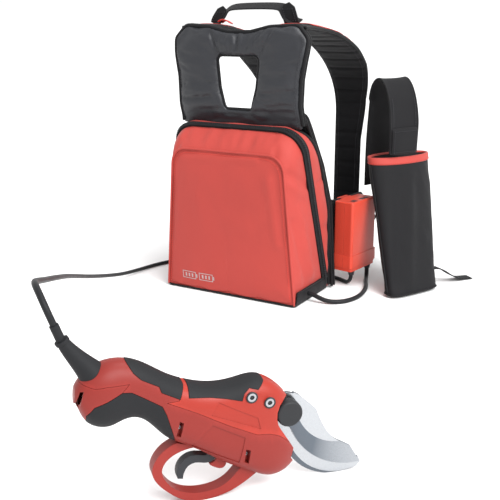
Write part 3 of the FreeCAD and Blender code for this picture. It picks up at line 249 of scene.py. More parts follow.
def inflate(obj, pinned, pressure, expand, cap):
    """Swells a closed fabric form by cloth simulation and keeps the result in its mesh."""
    scene = bpy.context.scene
    group = obj.vertex_groups.new(name="pin")
    group.add([int(i) for i in np.nonzero(pinned)[0]], 1.0, "REPLACE")
    before = np.array([v.co for v in obj.data.vertices])
    cloth = obj.modifiers.new("cloth", "CLOTH")
    settings = cloth.settings
    settings.quality = 5
    settings.mass = 0.15
    settings.tension_stiffness = CLOTH_STIFFNESS
    settings.compression_stiffness = CLOTH_STIFFNESS
    settings.shear_stiffness = CLOTH_STIFFNESS / 2
    settings.bending_stiffness = 0.3
    settings.use_pressure = True
    settings.uniform_pressure_force = pressure
    settings.shrink_min = -expand
    settings.vertex_group_mass = "pin"
    settings.effector_weights.gravity = 0.0
    cloth.collision_settings.use_collision = False
    cloth.collision_settings.use_self_collision = False
    cloth.point_cache.frame_start = 1
    cloth.point_cache.frame_end = SWELL_FRAMES
    for number in range(1, SWELL_FRAMES + 1):
        scene.frame_set(number)
    graph = bpy.context.evaluated_depsgraph_get()
    moved = np.array([v.co for v in obj.evaluated_get(graph).data.vertices])
    obj.modifiers.remove(cloth)
    obj.vertex_groups.remove(group)
    scene.frame_set(1)
    way = moved - before
    far = np.linalg.norm(way, axis=1, keepdims=True)
    way = way * np.minimum(1.0, cap / np.maximum(far, 1e-9))
    obj.data.vertices.foreach_set("co", (before + way).ravel())
    obj.data.update()


def refine(obj):
    """One subdivision on a soft piece."""
    modifier = obj.modifiers.new("smooth", "SUBSURF")
    modifier.levels = 1
    modifier.render_levels = 1


# ---------------------------------------------------------------- materials
class Shader:
    """A small builder for node materials."""

    def __init__(self, name):
        self.material = bpy.data.materials.new(name)
        self.material.use_nodes = True
        self.tree = self.material.node_tree
        self.surface = self.tree.nodes["Principled BSDF"]

    def node(self, kind, settings=None, **inputs):
        node = self.tree.nodes.new(kind)
        for key, value in (settings or {}).items():
            setattr(node, key, value)
        for key, value in inputs.items():
            self.put(node.inputs[key.replace("_", " ")], value)
        return node

    def put(self, socket, value):
        if isinstance(value, bpy.types.NodeSocket):
            self.tree.links.new(value, socket)
        else:
            socket.default_value = value

    def math(self, operation, a, b=0.0):
        node = self.tree.nodes.new("ShaderNodeMath")
        node.operation = operation
        self.put(node.inputs[0], a)
        self.put(node.inputs[1], b)
        return node.outputs[0]

    def where(self):
        return self.node("ShaderNodeTexCoord").outputs["Object"]

    def threads(self):
        """A cloth's own UVs in metres."""
        return self.node("ShaderNodeUVMap", {"uv_map": "cloth"}).outputs[0]

    def stretched(self, vector, scale, turn=(0, 0, 0)):
        return self.node("ShaderNodeMapping", Vector=vector, Scale=scale, Rotation=turn).outputs[0]

    def noise(self, vector, scale, detail=3.0):
        return self.node("ShaderNodeTexNoise", Vector=vector, Scale=scale, Detail=detail).outputs[0]

    def waves(self, vector, scale, direction, distortion=0.0):
        node = self.node("ShaderNodeTexWave", {"bands_direction": direction}, Vector=vector,
                         Scale=scale, Distortion=distortion)
        return node.outputs["Fac"]

    def blend(self, share, first, second):
        node = self.tree.nodes.new("ShaderNodeMix")
        node.data_type = "RGBA"
        self.put(node.inputs[0], share)
        self.put(node.inputs[6], first)
        self.put(node.inputs[7], second)
        return node.outputs[2]

    def span(self, value, low, high, start=0.0, end=1.0):
        """A value from start to end turned into one from low to high."""
        node = self.node("ShaderNodeMapRange", Value=value)
        for key, number in (("From Min", start), ("From Max", end), ("To Min", low),
                            ("To Max", high)):
            node.inputs[key].default_value = number
        return node.outputs[0]

    def bump(self, height, strength, distance, normal=None):
        node = self.node("ShaderNodeBump", Height=height, Strength=strength, Distance=distance)
        if normal is not None:
            self.put(node.inputs["Normal"], normal)
        return node.outputs[0]

    def soft_edges(self, radius):
        node = self.node("ShaderNodeBevel", {"samples": 4}, Radius=radius)
        return node.outputs[0]

    def set(self, **inputs):
        for key, value in inputs.items():
            self.put(self.surface.inputs[key.replace("_", " ")], value)
        return self.material


def tone(colour, factor):
    """A colour made darker or lighter."""
    return (*[min(1.0, c * factor) for c in colour[:3]], 1.0)


def plastic(name, colour, rough, grain=0.25, edge=0.0005, mottled=0.10):
    """Moulded plastic: fine spark texture, a little tone change, rounded edges with a lighter colour
    where sharply convex.
    """
    s = Shader(name)
    at = s.where()
    clouds = s.noise(at, 9.0, 4.0)
    paint = s.blend(s.span(clouds, 0.0, 1.0), tone(colour, 1 - mottled), tone(colour, 1 + mottled))
    edges = s.node("ShaderNodeNewGeometry").outputs["Pointiness"]
    # Lighter colour where the surface is sharply convex.
    paint = s.blend(s.span(edges, 0.0, 0.35, 0.52, 0.60), paint, tone(colour, 1.5))
    spark = s.noise(at, 1400.0, 2.0)
    normal = s.bump(spark, grain, 0.00012, s.soft_edges(edge))
    shine = s.span(s.noise(at, 60.0, 5.0), rough - 0.06, rough + 0.08)
    return s.set(Base_Color=paint, Roughness=shine, Normal=normal, Specular_IOR_Level=0.24)


def rubber(name, colour, rough=0.62, dots=False):
    """Soft overmould: matt, slightly dusty, with a fine pebble or a dotted grip."""
    s = Shader(name)
    at = s.where()
    dust = s.noise(at, 35.0, 6.0)
    paint = s.blend(s.span(dust, 0.0, 1.0), tone(colour, 0.85), tone(colour, 1.25))
    pebble = s.node("ShaderNodeTexVoronoi", Vector=at, Scale=520.0 if dots else 900.0).outputs[0]
    normal = s.bump(pebble, 0.22 if dots else 0.15, 0.0002, s.soft_edges(0.0005))
    shine = s.span(dust, rough - 0.1, rough + 0.1)
    return s.set(Base_Color=paint, Roughness=shine, Normal=normal, Specular_IOR_Level=0.20)


def steel(name, colour, rough, lines=1.0):
    """Ground steel: brush lines one way, faint smudges."""
    s = Shader(name)
    at = s.where()
    brushed = s.stretched(at, (90.0, 90.0, 2600.0), (0.0, 0.0, TOOL_TURN))
    streaks = s.noise(brushed, 1.0, 4.0)
    smudge = s.noise(at, 40.0, 5.0)
    paint = s.blend(s.span(smudge, 0.0, 0.6), tone(colour, 1.0), tone(colour, 0.86))
    shine = s.math("ADD", s.span(streaks, rough - 0.05, rough + 0.08), s.span(smudge, -0.03, 0.05))
    normal = s.bump(streaks, 0.08 * lines, 0.0001, s.soft_edges(0.0003))
    return s.set(Base_Color=paint, Metallic=1.0, Roughness=shine, Normal=normal)


def ground_steel(name, bright, dark):
    """Blade steel: bright polished flats; where the face turns off the blade's plane, a rougher ground
    finish with painted shade in its darker colour.
    """
    s = Shader(name)
    at = s.where()
    geometry = s.node("ShaderNodeNewGeometry")
    facing = s.node("ShaderNodeVectorMath", {"operation": "DOT_PRODUCT"})
    s.put(facing.inputs[0], geometry.outputs["Normal"])
    facing.inputs[1].default_value = TOOL_RIGHT
    # Faces off the blade's plane, bevels and rounded edges: their higher roughness is the real grind,
    # their darker colour is painted shade.
    satin = s.span(s.math("ABSOLUTE", facing.outputs["Value"]), 0.0, 1.0, 0.9995, 0.985)
    streaks = s.noise(s.stretched(at, (120.0, 120.0, 1900.0), (0.0, 0.5, TOOL_TURN)), 1.0, 4.0)
    fine = s.noise(at, 600.0, 4.0)
    paint = s.blend(satin, bright, dark)
    paint = s.blend(s.span(fine, 0.0, 0.25), paint, tone(dark, 0.8))
    shine = s.math("ADD", s.span(satin, 0.16, 0.34), s.span(streaks, -0.04, 0.08))
    normal = s.bump(streaks, 0.10, 0.0001, s.soft_edges(0.0003))
    return s.set(Base_Color=paint, Metallic=0.92, Roughness=shine, Normal=normal)


WAVE = 0.314            # the wave texture's scale times the distance between two waves
FADE = 0.12


def fabric(name, colour, rough, pitch=0.0011, sheen=0.05, depth=0.5, coat=0.0, gloss=0.14):
    """Woven cloth on a piece's own UVs: threads both ways, loose fibres, slow fading."""
    s = Shader(name)
    at = s.threads()
    warp = s.waves(at, WAVE / pitch, "X", 0.6)
    weft = s.waves(at, WAVE / pitch, "Y", 0.6)
    weave = s.math("MULTIPLY", s.math("ADD", warp, weft), 0.5)
    clouds = s.noise(s.where(), 7.0, 5.0)
    fibres = s.noise(at, 1500.0, 3.0)
    paint = s.blend(clouds, tone(colour, 1 - FADE), tone(colour, 1 + FADE))
    paint = s.blend(s.span(weave, 0.0, 0.30), paint, tone(colour, 0.62))
    height = s.math("ADD", weave, s.math("MULTIPLY", fibres, 0.6))
    creases = s.noise(s.where(), 55.0, 6.0)
    normal = s.bump(creases, 0.12, 0.0015)
    normal = s.bump(height, depth, 0.00025, normal)
    shine = s.span(clouds, rough - 0.06, rough + 0.06)
    return s.set(Base_Color=paint, Roughness=shine, Normal=normal, Sheen_Weight=sheen,
                 Sheen_Roughness=0.45, Specular_IOR_Level=gloss, Coat_Weight=coat,
                 Coat_Roughness=0.4)


def webbing(name, colour, rib=0.0016):
    """Narrow woven strap: ribs across, a fine herringbone along."""
    s = Shader(name)
    at = s.threads()
    ribs = s.waves(at, WAVE / rib, "Y", 0.3)
    twill = s.waves(at, WAVE / (rib * 0.8), "DIAGONAL", 0.4)
    height = s.math("ADD", ribs, s.math("MULTIPLY", twill, 0.6))
    paint = s.blend(s.span(height, 0.0, 0.6), tone(colour, 0.7), tone(colour, 1.35))
    normal = s.bump(height, 0.7, 0.0004)
    return s.set(Base_Color=paint, Roughness=0.8, Normal=normal, Sheen_Weight=0.04,
                 Specular_IOR_Level=0.14)


def circuit_board(name):
    """Solder mask with a tight pattern of tracks."""
    s = Shader(name)
    cells = s.node("ShaderNodeTexVoronoi", {"distance": "MANHATTAN"}, Vector=s.where(),
                   Scale=240.0).outputs[0]
    paint = s.blend(s.span(cells, 0.0, 0.8), (0.01, 0.10, 0.03, 1), (0.05, 0.30, 0.10, 1))
    return s.set(Base_Color=paint, Roughness=0.4, Normal=s.bump(cells, 0.3, 0.0002))


def floor_finish(name):
    """Pale matt studio floor with the faintest mottle."""
    s = Shader(name)
    clouds = s.noise(s.where(), 3.0, 4.0)
    paint = s.blend(clouds, (0.86, 0.86, 0.86, 1), (0.90, 0.90, 0.90, 1))
    return s.set(Base_Color=paint, Roughness=0.7, Specular_IOR_Level=0.2)


CASING_RED = (0.215, 0.022, 0.017)
COVER_RED = (0.30, 0.028, 0.018)
CONTROL_RED = (0.50, 0.052, 0.030)
CLOTH_RED = (0.40, 0.046, 0.036)
DARK_RUBBER = (0.012, 0.0125, 0.014)

finish = {
    "red_casing": plastic("red_casing", CASING_RED, 0.42),
    "red_cover": plastic("red_cover", COVER_RED, 0.34),
    "controller_red": plastic("controller_red", CONTROL_RED, 0.36, edge=0.0009),
    "dark_rubber": rubber("dark_rubber", DARK_RUBBER, dots=True),
    "black_plastic": plastic("black_plastic", (0.022, 0.023, 0.026), 0.45, mottled=0.15),
    "cap_plastic": plastic("cap_plastic", (0.020, 0.021, 0.023), 0.50, mottled=0.15),
    # The blade's second colour is painted shade for its ground faces and edges.
    "blade_steel": ground_steel("blade_steel", (0.48, 0.495, 0.515, 1), (0.13, 0.15, 0.175, 1)),
    "plated_steel": steel("plated_steel", (0.40, 0.41, 0.43), 0.26),
    "motor_steel": steel("motor_steel", (0.40, 0.41, 0.43), 0.34),
    "frame_alloy": steel("frame_alloy", (0.60, 0.61, 0.63), 0.42, lines=0.4),
    "bronze": steel("bronze", (0.60, 0.42, 0.20), 0.35, lines=0.4),
    "board_green": circuit_board("board_green"),
    "cord_jacket": rubber("cord_jacket", (0.011, 0.0115, 0.013), 0.5),
    "red_fabric": fabric("red_fabric", CLOTH_RED, rough=0.6, sheen=0.08, depth=0.45,
                         gloss=0.25),
    "red_lining": fabric("red_lining", (0.55, 0.052, 0.042), rough=0.7, sheen=0.1),
    "black_fabric": fabric("black_fabric", (0.0085, 0.0083, 0.0095), rough=0.7, sheen=0.06),
    "satin": fabric("satin", (0.0125, 0.0135, 0.0175), rough=0.44, pitch=0.0008, sheen=0.05,
                    depth=0.25, coat=0.03, gloss=0.42),
    "mesh_cloth": fabric("mesh_cloth", (0.009, 0.009, 0.010), rough=0.8, pitch=0.0032,
                         depth=1.0, sheen=0.06),
    "black_webbing": webbing("black_webbing", (0.010, 0.010, 0.011)),
    "piping": fabric("piping", (0.007, 0.007, 0.008), rough=0.5, pitch=0.0009, sheen=0.05),
    "thread": plastic("thread", (0.028, 0.028, 0.032), 0.6, grain=0.1),
    "red_thread": plastic("red_thread", (0.45, 0.040, 0.030), 0.6, grain=0.1),
    "pale_print": plastic("pale_print", (0.38, 0.30, 0.30), 0.55, grain=0.3),
}
SLOT_OF = {"satin": "black_fabric", "mesh_cloth": "black_fabric", "piping": "black_fabric",
           "thread": "black_fabric", "red_thread": "red_fabric", "red_lining": "red_fabric",
           "pale_print": "black_plastic", "cap_plastic": "black_plastic"}


def paint(obj, name):
    """Gives an object one finish."""
    obj.data.materials.clear()
    obj.data.materials.append(finish[name])


def piece(obj, name, body="pack", replaces=()):
    """A finished piece of the object: its finish, the body it rides on and what it stands for."""
    paint(obj, name)
    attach(obj, body)
    SLOT_OF.get(name, name)
    if replaces:
        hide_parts(*replaces)
    return obj


# ---------------------------------------------------------------- cords
PRUNER_CORD_RADIUS, BATTERY_CORD_RADIUS = 0.0035, 0.004
CORD_HIGH = 3.6                 # height of the pruner cord's middle on the floor, millimetres
PRUNER_ROUTE = (
    (220.8, -737.4, 199.5), (217.2, -741.4, 214.5), (211.5, -742.0, 226.5), (202.0, -738.0, 235.0),
    (190.0, -730.0, 238.5), (176.0, -717.0, 236.0), (157.0, -696.0, 228.0), (132.0, -665.0, 216.0),
    (101.0, -625.0, 201.0), (63.0, -575.0, 183.0), (20.0, -518.0, 162.0), (-25.0, -459.0, 140.0),
    (-69.0, -400.0, 117.0), (-110.0, -340.0, 94.0), (-148.0, -279.0, 71.0), (-181.0, -216.0, 49.0),
    (-207.0, -153.0, 29.0), (-224.0, -92.0, 13.0), (-231.0, -34.0, 5.0), (-225.0, 22.0, CORD_HIGH),
    (-204.0, 72.0, CORD_HIGH), (-167.0, 105.0, CORD_HIGH), (-119.0, 121.0, CORD_HIGH),
    (-65.0, 122.0, CORD_HIGH), (-9.0, 117.0, CORD_HIGH), (47.0, 120.0, CORD_HIGH),
    (91.0, 122.0, CORD_HIGH), (121.0, 118.5, CORD_HIGH), (139.0, 111.5, CORD_HIGH),
    (154.8, 101.4, CORD_HIGH), (161.9, 97.5, 8.4), (166.1, 95.2, 16.6), (166.1, 95.2, 30.0))
BATTERY_HIGH = 4.1
BATTERY_ROUTE = (
    (174.2, 152.7, 30.0), (174.2, 152.7, 16.6), (175.7, 148.2, 8.6), (178.3, 140.4, BATTERY_HIGH),
    (184.0, 124.0, BATTERY_HIGH), (196.0, 98.0, BATTERY_HIGH), (205.0, 67.0, BATTERY_HIGH),
    (208.0, 35.0, BATTERY_HIGH), (202.0, 7.0, BATTERY_HIGH), (189.0, -12.0, BATTERY_HIGH),
    (172.0, -22.0, 5.4), (156.0, -24.0, 10.0), (145.0, -22.4, 13.6), (134.8, -22.0, 14.0))


def smooth_line(points):
    """The points of a smooth curve that a route of control points makes."""
    curve = bpy.data.curves.new("route", "CURVE")
    curve.dimensions = "3D"
    spline = curve.splines.new("NURBS")
    spline.points.add(len(points) - 1)
    for control, point in zip(spline.points, mm(points)):
        control.co = (*point, 1.0)
    spline.order_u = 3
    spline.use_endpoint_u = True
    spline.resolution_u = 8
    carrier = link("route", curve)
    mesh = bpy.data.meshes.new_from_object(carrier)
    line = np.array([v.co for v in mesh.vertices])
    bpy.data.objects.remove(carrier)
    return line


def make_cords():
    """The pruner's cord and the battery cable."""
    line = smooth_line(PRUNER_ROUTE)
    cord = sweep("pruner_cord", line, circle(PRUNER_CORD_RADIUS, 14))
    paint(cord, "cord_jacket")
    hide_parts("pruner_cable_a", "pruner_cable_b")
    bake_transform(cord)
    float(lengths(line)[-1])

    line = smooth_line(BATTERY_ROUTE)
    cable = piece(sweep("battery_cord", line, circle(BATTERY_CORD_RADIUS, 14)), "cord_jacket",
                  replaces=("battery_cable",))
    float(lengths(line)[-1])


make_camera()
make_cords()


# ---------------------------------------------------------------- soft shapes
def rounded(corners, radii, step=4.0, closed=True):
    """A flat polyline with rounded corners, sampled about every step."""
    corners = [np.array(c, float) for c in corners]
    radii = np.broadcast_to(radii, len(corners))
    line = []
    for i, corner in enumerate(corners):
        if not closed and i in (0, len(corners) - 1):
            line.append(corner)
            continue
        before, after = corners[i - 1], corners[(i + 1) % len(corners)]
        to_before = (before - corner) / np.linalg.norm(before - corner)
        to_after = (after - corner) / np.linalg.norm(after - corner)
        half = math.acos(np.clip(np.dot(to_before, to_after), -1, 1)) / 2
        reach = radii[i] / math.tan(half)
        bisector = (to_before + to_after) / np.linalg.norm(to_before + to_after)
        centre = corner + bisector * radii[i] / math.sin(half)
        first, last = corner + to_before * reach - centre, corner + to_after * reach - centre
        for share in np.linspace(0, 1, 9):
            arm = first * (1 - share) + last * share
            line.append(centre + arm / np.linalg.norm(arm) * radii[i])
    flat = np.array(line)
    flat = np.column_stack([flat, np.zeros(len(flat))])
    return resample(flat, step, closed=closed)[:, :2]


def polar(outline, centre, count):
    """Where an outline crosses rays at even angles from a centre inside it."""
    arms = np.asarray(outline, float) - centre
    arms = np.vstack([arms, arms[:1]])
    fine = []
    for a, b in zip(arms, arms[1:]):
        fine.extend(a + (b - a) * share for share in (0.0, 0.25, 0.5, 0.75))
    fine = np.array(fine)
    angle = np.arctan2(fine[:, 1], fine[:, 0])
    order = np.argsort(angle)
    wanted = np.linspace(-math.pi, math.pi, count, endpoint=False)
    far = np.interp(wanted, angle[order], np.linalg.norm(fine[order], axis=1),
                    period=2 * math.pi)
    return centre + np.column_stack([np.cos(wanted), np.sin(wanted)]) * far[:, None]


def merge(obj):
    """Joins the vertices that coincide and makes the normals agree."""
    form = bmesh.new()
    form.from_mesh(obj.data)
    bmesh.ops.remove_doubles(form, verts=form.verts, dist=0.00002)
    bmesh.ops.dissolve_degenerate(form, edges=form.edges, dist=0.00001)
    bmesh.ops.recalc_face_normals(form, faces=form.faces)
    form.to_mesh(obj.data)
    form.free()
    obj.data.update()
    return obj


def flat_uv(obj):
    """UVs taken from X and Z, in metres."""
    layer = obj.data.uv_layers.get("cloth") or obj.data.uv_layers.new(name="cloth")
    for loop in obj.data.loops:
        co = obj.data.vertices[loop.vertex_index].co
        layer.data[loop.index].uv = (co.x, co.z)
    return obj


def push(obj, amount):
    """Moves a mesh's points along their normals by amount(points, normals) metres."""
    points = np.array([v.co for v in obj.data.vertices])
    normals = np.array([v.normal for v in obj.data.vertices])
    moved = points + normals * np.asarray(amount(points, normals))[:, None]
    obj.data.vertices.foreach_set("co", moved.ravel())
    obj.data.update()
    return obj


def crease(points, start, end, width):
    """1 on the segment from start to end (millimetres), fading out over a width."""
    a, b = mm(start), mm(end)
    way = b - a
    share = np.clip(((points - a) @ way) / (way @ way), 0, 1)
    gap = np.linalg.norm(points - (a + share[:, None] * way), axis=1)
    return np.exp(-(gap / (width * MM)) ** 2)


def creases(points, table):
    """The sum of creases given as rows of height in millimetres, start, end and width."""
    return sum(high * MM * crease(points, *ends) for high, *ends in table)


def cushion(name, outline, place, half, centre=None, hole=None, count=220, rings=12, full=3.0):
    """A closed padded form over a flat outline. place maps (u, v, height) to space."""
    outer = polar(outline, centre, count)
    if hole is None:
        inner = np.broadcast_to(np.array(centre, float), outer.shape)
    else:
        inner = polar(hole, centre, count)
    rows = []
    for side in (1, -1):
        for k in np.linspace(0, 1, rings + 1)[::side]:
            across = abs(2 * k - 1) if hole is not None else k
            swell = (1 - across ** full) ** 0.45
            flat = inner + (outer - inner) * k
            rows.append(place(flat[:, 0], flat[:, 1], side * half * swell))
    rows.append(rows[0])
    return flat_uv(merge(grid(name, np.array(rows), around=True)))


def binding(name, path, radius, closed=False):
    """Piping or a bound edge along a path."""
    tube = sweep(name, resample(path, 0.003, closed=closed), circle(radius, 10), closed=closed)
    return piece(tube, "piping")


# ---------------------------------------------------------------- bag
BAG_HALF = 133.0
FRONT_CENTRE = np.array((0.0, 120.0))
FRONT_LOW, FRONT_HIGH = (-71.0, 4.2), (-79.0, 264.0)
ZIP_LOW, ZIP_HIGH = (47.0, 4.2), (-48.0, 300.0)
ZIP_WIDTH = 9.0
FRONT_TOP, FRONT_CORNER = 111.0, 30.0          # half width at the top, corner radius
ZIP_TOP, ZIP_CORNER = 127.0, 44.0
REAR = ((61.0, 4.2), (59.0, 150.0), (31.0, 226.0), (-9.0, 292.0), (-24.0, 300.0))
BASE_RIM = 26.0


def panel_line(low, high, half_low, half_high, corner, grow=0.0, shift=0.0, foot=None):
    """Points up one side of a panel, over its top and down the other side."""
    rise = np.array(high) - np.array(low)
    tall = np.linalg.norm(rise)
    rise = rise / tall
    sides = [(-half_low - grow, 0.0), (-half_high - grow, tall + grow),
             (half_high + grow, tall + grow), (half_low + grow, 0.0)]
    legs = []
    left = np.array(sides[1]) - np.array(sides[0])
    left = left / np.linalg.norm(left)
    turn = math.acos(left[0])
    reach = corner * math.tan(turn / 2)
    start = 0.0 if foot is None else foot / left[1]
    top_left = np.array(sides[1])
    centre = top_left + np.array([reach, -corner])
    for share in np.linspace(0, 1, 60):
        a = np.array(sides[0]) + left * start
        b = top_left - left * reach
        legs.append(a + (b - a) * share)
    first = legs[-1] - centre
    last = np.array([0.0, corner])
    for share in np.linspace(0, 1, 16)[1:]:
        arm = first * (1 - share) + last * share
        legs.append(centre + arm / np.linalg.norm(arm) * corner)
    far = legs[-1][0]
    for share in np.linspace(0, 1, 22)[1:]:
        legs.append(np.array([far * (1 - share), tall + grow]))
    line = legs + [np.array([-p[0], p[1]]) for p in reversed(legs[:-1])]
    return mm([(p[0], low[0] + rise[0] * p[1] + shift, low[1] + rise[1] * p[1]) for p in line])


def front_line(grow=0.0, shift=0.0, foot=None):
    """The front panel's edge, grown outwards and moved along Y."""
    return panel_line(FRONT_LOW, FRONT_HIGH, BAG_HALF, FRONT_TOP, FRONT_CORNER, grow, shift, foot)


def zip_line(behind=0.0, grow=0.0, foot=None):
    """The zip's line round the bag, a distance behind its front edge and grown outwards."""
    return panel_line((ZIP_LOW[0] + behind, ZIP_LOW[1]), (ZIP_HIGH[0] + behind, ZIP_HIGH[1]),
                      BAG_HALF, ZIP_TOP, ZIP_CORNER, grow, 0.0, foot)


def puffed(line, middle, swell):
    """A row moved outwards from the bag's middle as seen from the front."""
    out = line - middle
    out[:, 1] = 0.0
    out /= np.linalg.norm(out, axis=1, keepdims=True)
    return line + out * swell[:, None]


def front_plane(z):
    """The Y of the front panel at a height, millimetres."""
    share = (z - FRONT_LOW[1]) / (FRONT_HIGH[1] - FRONT_LOW[1])
    return FRONT_LOW[0] + (FRONT_HIGH[0] - FRONT_LOW[0]) * share


def make_front():
    """The front panel: crowned, sagging to its base, seamed round its edge."""
    edge = front_line()[:, [0, 2]] / MM
    outer = polar(edge, FRONT_CENTRE, 300)
    rows = []
    for k in np.concatenate([np.linspace(0, 0.9, 26), np.linspace(0.92, 1.0, 7)]):
        flat = FRONT_CENTRE + (outer - FRONT_CENTRE) * k
        swell = 7.0 * (1 - k ** 2.6) - 2.6 * math.exp(-((k - 0.965) / 0.012) ** 2)
        edge_drop = 3.0 * max(0.0, (k - 0.97) / 0.03) ** 2
        rows.append(spots(flat[:, 0], front_plane(flat[:, 1]) - swell + edge_drop, flat[:, 1]))
    obj = merge(grid("front_panel", np.array(rows), around=True))

    def folds(points, normals):
        amount = 0.0016 * ripple(points * (1.0, 1.0, 0.45), 14.0, 1)
        amount += 0.0008 * ripple(points * (1.0, 1.0, 0.6), 38.0, 2)
        amount += creases(points, (
            (-2.2, (96, -76, 232), (110, -72, 120), 7),
            (2.0, (84, -78, 220), (100, -74, 110), 9),
            (-1.4, (-112, -75, 200), (-119, -72, 90), 6),
            (1.4, (-92, -78, 246), (60, -78, 252), 7),
            (1.8, (60, -72, 20), (118, -71, 30), 12)))
        return amount * (1 - smoothstep(np.abs(points[:, 0]), 0.120, 0.134))

    push(obj, folds)
    flat_uv(obj)
    piece(obj, "red_fabric", replaces=("bag_front",))
    return obj


def make_gusset():
    """The soft sides and top between the front panel and the zip."""
    front, back = front_line(), zip_line()
    count = len(front)
    middle = np.array([0.0, -0.03, 0.12])
    rows = []
    for w in np.linspace(0, 1, 25):
        line = front * (1 - w) + back * w
        bulge = 0.0052 * math.sin(math.pi * w) ** 0.7 * smoothstep(line[:, 2], 0.018, 0.055)
        rows.append(puffed(line, middle, bulge - 0.0012))
    tuck = back + (middle - back) * (0.03, 0.0, 0.03)
    rows = [front + (middle - front) * (0.022, 0.0, 0.022)] + rows + [tuck]
    obj = grid("gusset", np.array(rows))
    flow = np.linspace(0, 1, count)

    def folds(points, normals):
        index = np.arange(len(points)) % count
        along = flow[index]
        w = np.clip((np.arange(len(points)) // count) / (len(rows) - 1), 0, 1)
        inside = np.sin(math.pi * w) ** 0.8
        top = np.exp(-((along - 0.5) / 0.17) ** 2)
        amount = 0.0030 * inside * ripple(points * (1.0, 2.0, 0.35), 17.0, 5)
        amount += 0.0016 * inside * ripple(points * (2.4, 0.7, 1.0), 30.0, 6)
        amount += 0.0024 * top * inside * ripple(points * (2.2, 0.5, 0.5), 32.0, 7)
        amount += creases(points, (
            (-3.0, (133, -30, 30), (126, -66, 150), 8),
            (2.6, (134, -8, 40), (131, -48, 170), 9),
            (-2.6, (128, -20, 205), (118, -68, 232), 7),
            (2.2, (129, -30, 190), (122, -70, 214), 7),
            (-2.2, (-104, -78, 262), (-84, -48, 290), 6),
            (-2.2, (96, -78, 262), (84, -48, 292), 6)))
        return amount * smoothstep(points[:, 2], 0.018, 0.050)

    push(obj, folds)
    piece(obj, "red_fabric")
    lip = front_line(grow=-0.9, shift=-0.2)
    piece(sweep("front_seam", resample(lip, 0.004), circle(0.0017, 8)), "red_fabric")
    seam = front_line(grow=-7.5, shift=-2.0, foot=8.0)
    piece(stitches("front_stitches", [(seam, (0, -1, 0))]), "red_thread")


BLOCK_CORNERS = ((-1, -1, -1), (1, -1, -1), (1, 1, -1), (-1, 1, -1),
                 (-1, -1, 1), (1, -1, 1), (1, 1, 1), (-1, 1, 1))
BLOCK_FACES = ((0, 3, 2, 1), (4, 5, 6, 7), (0, 1, 5, 4), (1, 2, 6, 5), (2, 3, 7, 6), (3, 0, 4, 7))


def make_zip():
    """Zip tape, coil and the piping along its edges; the two sliders stay the imported part."""
    rows = []
    for w in np.linspace(-0.32, 1.12, 15):
        edge = (w + 0.32) / 1.44
        crown = max(0.0, math.sin(math.pi * edge)) ** 0.5
        lift = 0.8 + 4.2 * edge + 1.6 * crown - 2.4 * (edge in (0.0, 1.0))
        rows.append(zip_line(ZIP_WIDTH * w, lift, BASE_RIM - 6))
    tape = grid("zip_tape", np.array(rows))
    piece(tape, "black_webbing", replaces=("zip_track",))
    line = resample(zip_line(ZIP_WIDTH / 2, 4.9, BASE_RIM - 4), 0.0021)
    side, high_way = frames(line, up=(0, 1, 0))
    points, faces = [], []
    for i, (at, a, b) in enumerate(zip(line, side, high_way)):
        way = np.cross(a, b)
        sign = 1 if i % 2 else -1
        base = len(points)
        for du, dv, dw in BLOCK_CORNERS:
            points.append(at + a * dv * 0.0008 + b * (du * 0.0017 + sign * 0.0009)
                          + way * dw * 0.00075)
        faces.extend([tuple(base + k for k in face) for face in BLOCK_FACES])
    coil = new_mesh("zip_coil", points, faces, [(p[0], p[2]) for p in points])
    coil.data.polygons.foreach_set("use_smooth", [False] * len(coil.data.polygons))
    piece(coil, "black_plastic")
    for shift, lift, label in ((-2.6, 1.6, "outer"), (ZIP_WIDTH + 0.8, 5.2, "inner")):
        row = resample(zip_line(shift, lift, BASE_RIM - 4), 0.004)
        piece(sweep("zip_edge_" + label, row, circle(0.0012, 8)), "piping")


def rear_y(z):
    """The Y where the bag meets the back panel at a height, millimetres."""
    depths, heights = zip(*REAR)
    return np.interp(z, heights, depths)


def make_rear():
    """The narrow gusset between the zip and the back panel."""
    first = zip_line(ZIP_WIDTH, 4.2)
    foot = 4.2 * MM * (1 - smoothstep(first[:, 2], 0.016, 0.040))
    first[:, 0] -= np.sign(first[:, 0]) * foot
    last = zip_line(ZIP_WIDTH, 1.5)
    last[:, 2] = first[:, 2]
    last[:, 1] = rear_y(first[:, 2] / MM) * MM
    last[:, 1] = np.maximum(last[:, 1], first[:, 1] + 0.004)
    middle = np.array([0.0, 0.0, 0.13])
    rows = []
    for w in np.linspace(0, 1, 15):
        line = first * (1 - w) + last * w
        swell = 0.003 * math.sin(math.pi * w) * smoothstep(line[:, 2], 0.018, 0.05)
        rows.append(puffed(line, middle, swell - 0.0008))
    rows = [rows[0] + (middle - rows[0]) * (0.03, 0, 0.03)] + rows
    rows.append(rows[-1] + (middle - rows[-1]) * (0.03, 0, 0.03))
    obj = grid("rear_gusset", np.array(rows))

    def folds(points, normals):
        amount = 0.0018 * ripple(points * (1.0, 0.5, 1.6), 26.0, 11)
        amount -= creases(points, ((3.0, (133, 5, 206), (133, 45, 214), 4),
                                   (2.4, (133, 5, 128), (133, 50, 120), 4),
                                   (2.4, (-133, 5, 186), (-133, 45, 194), 4)))
        return amount * smoothstep(points[:, 2], 0.018, 0.050)

    push(obj, folds)
    piece(obj, "red_fabric", replaces=("bag_rear",))
    line = last + (0.0, 0.001, 0.0)
    line = line[line[:, 2] > 0.005]
    binding("rear_binding", line, 0.0031)


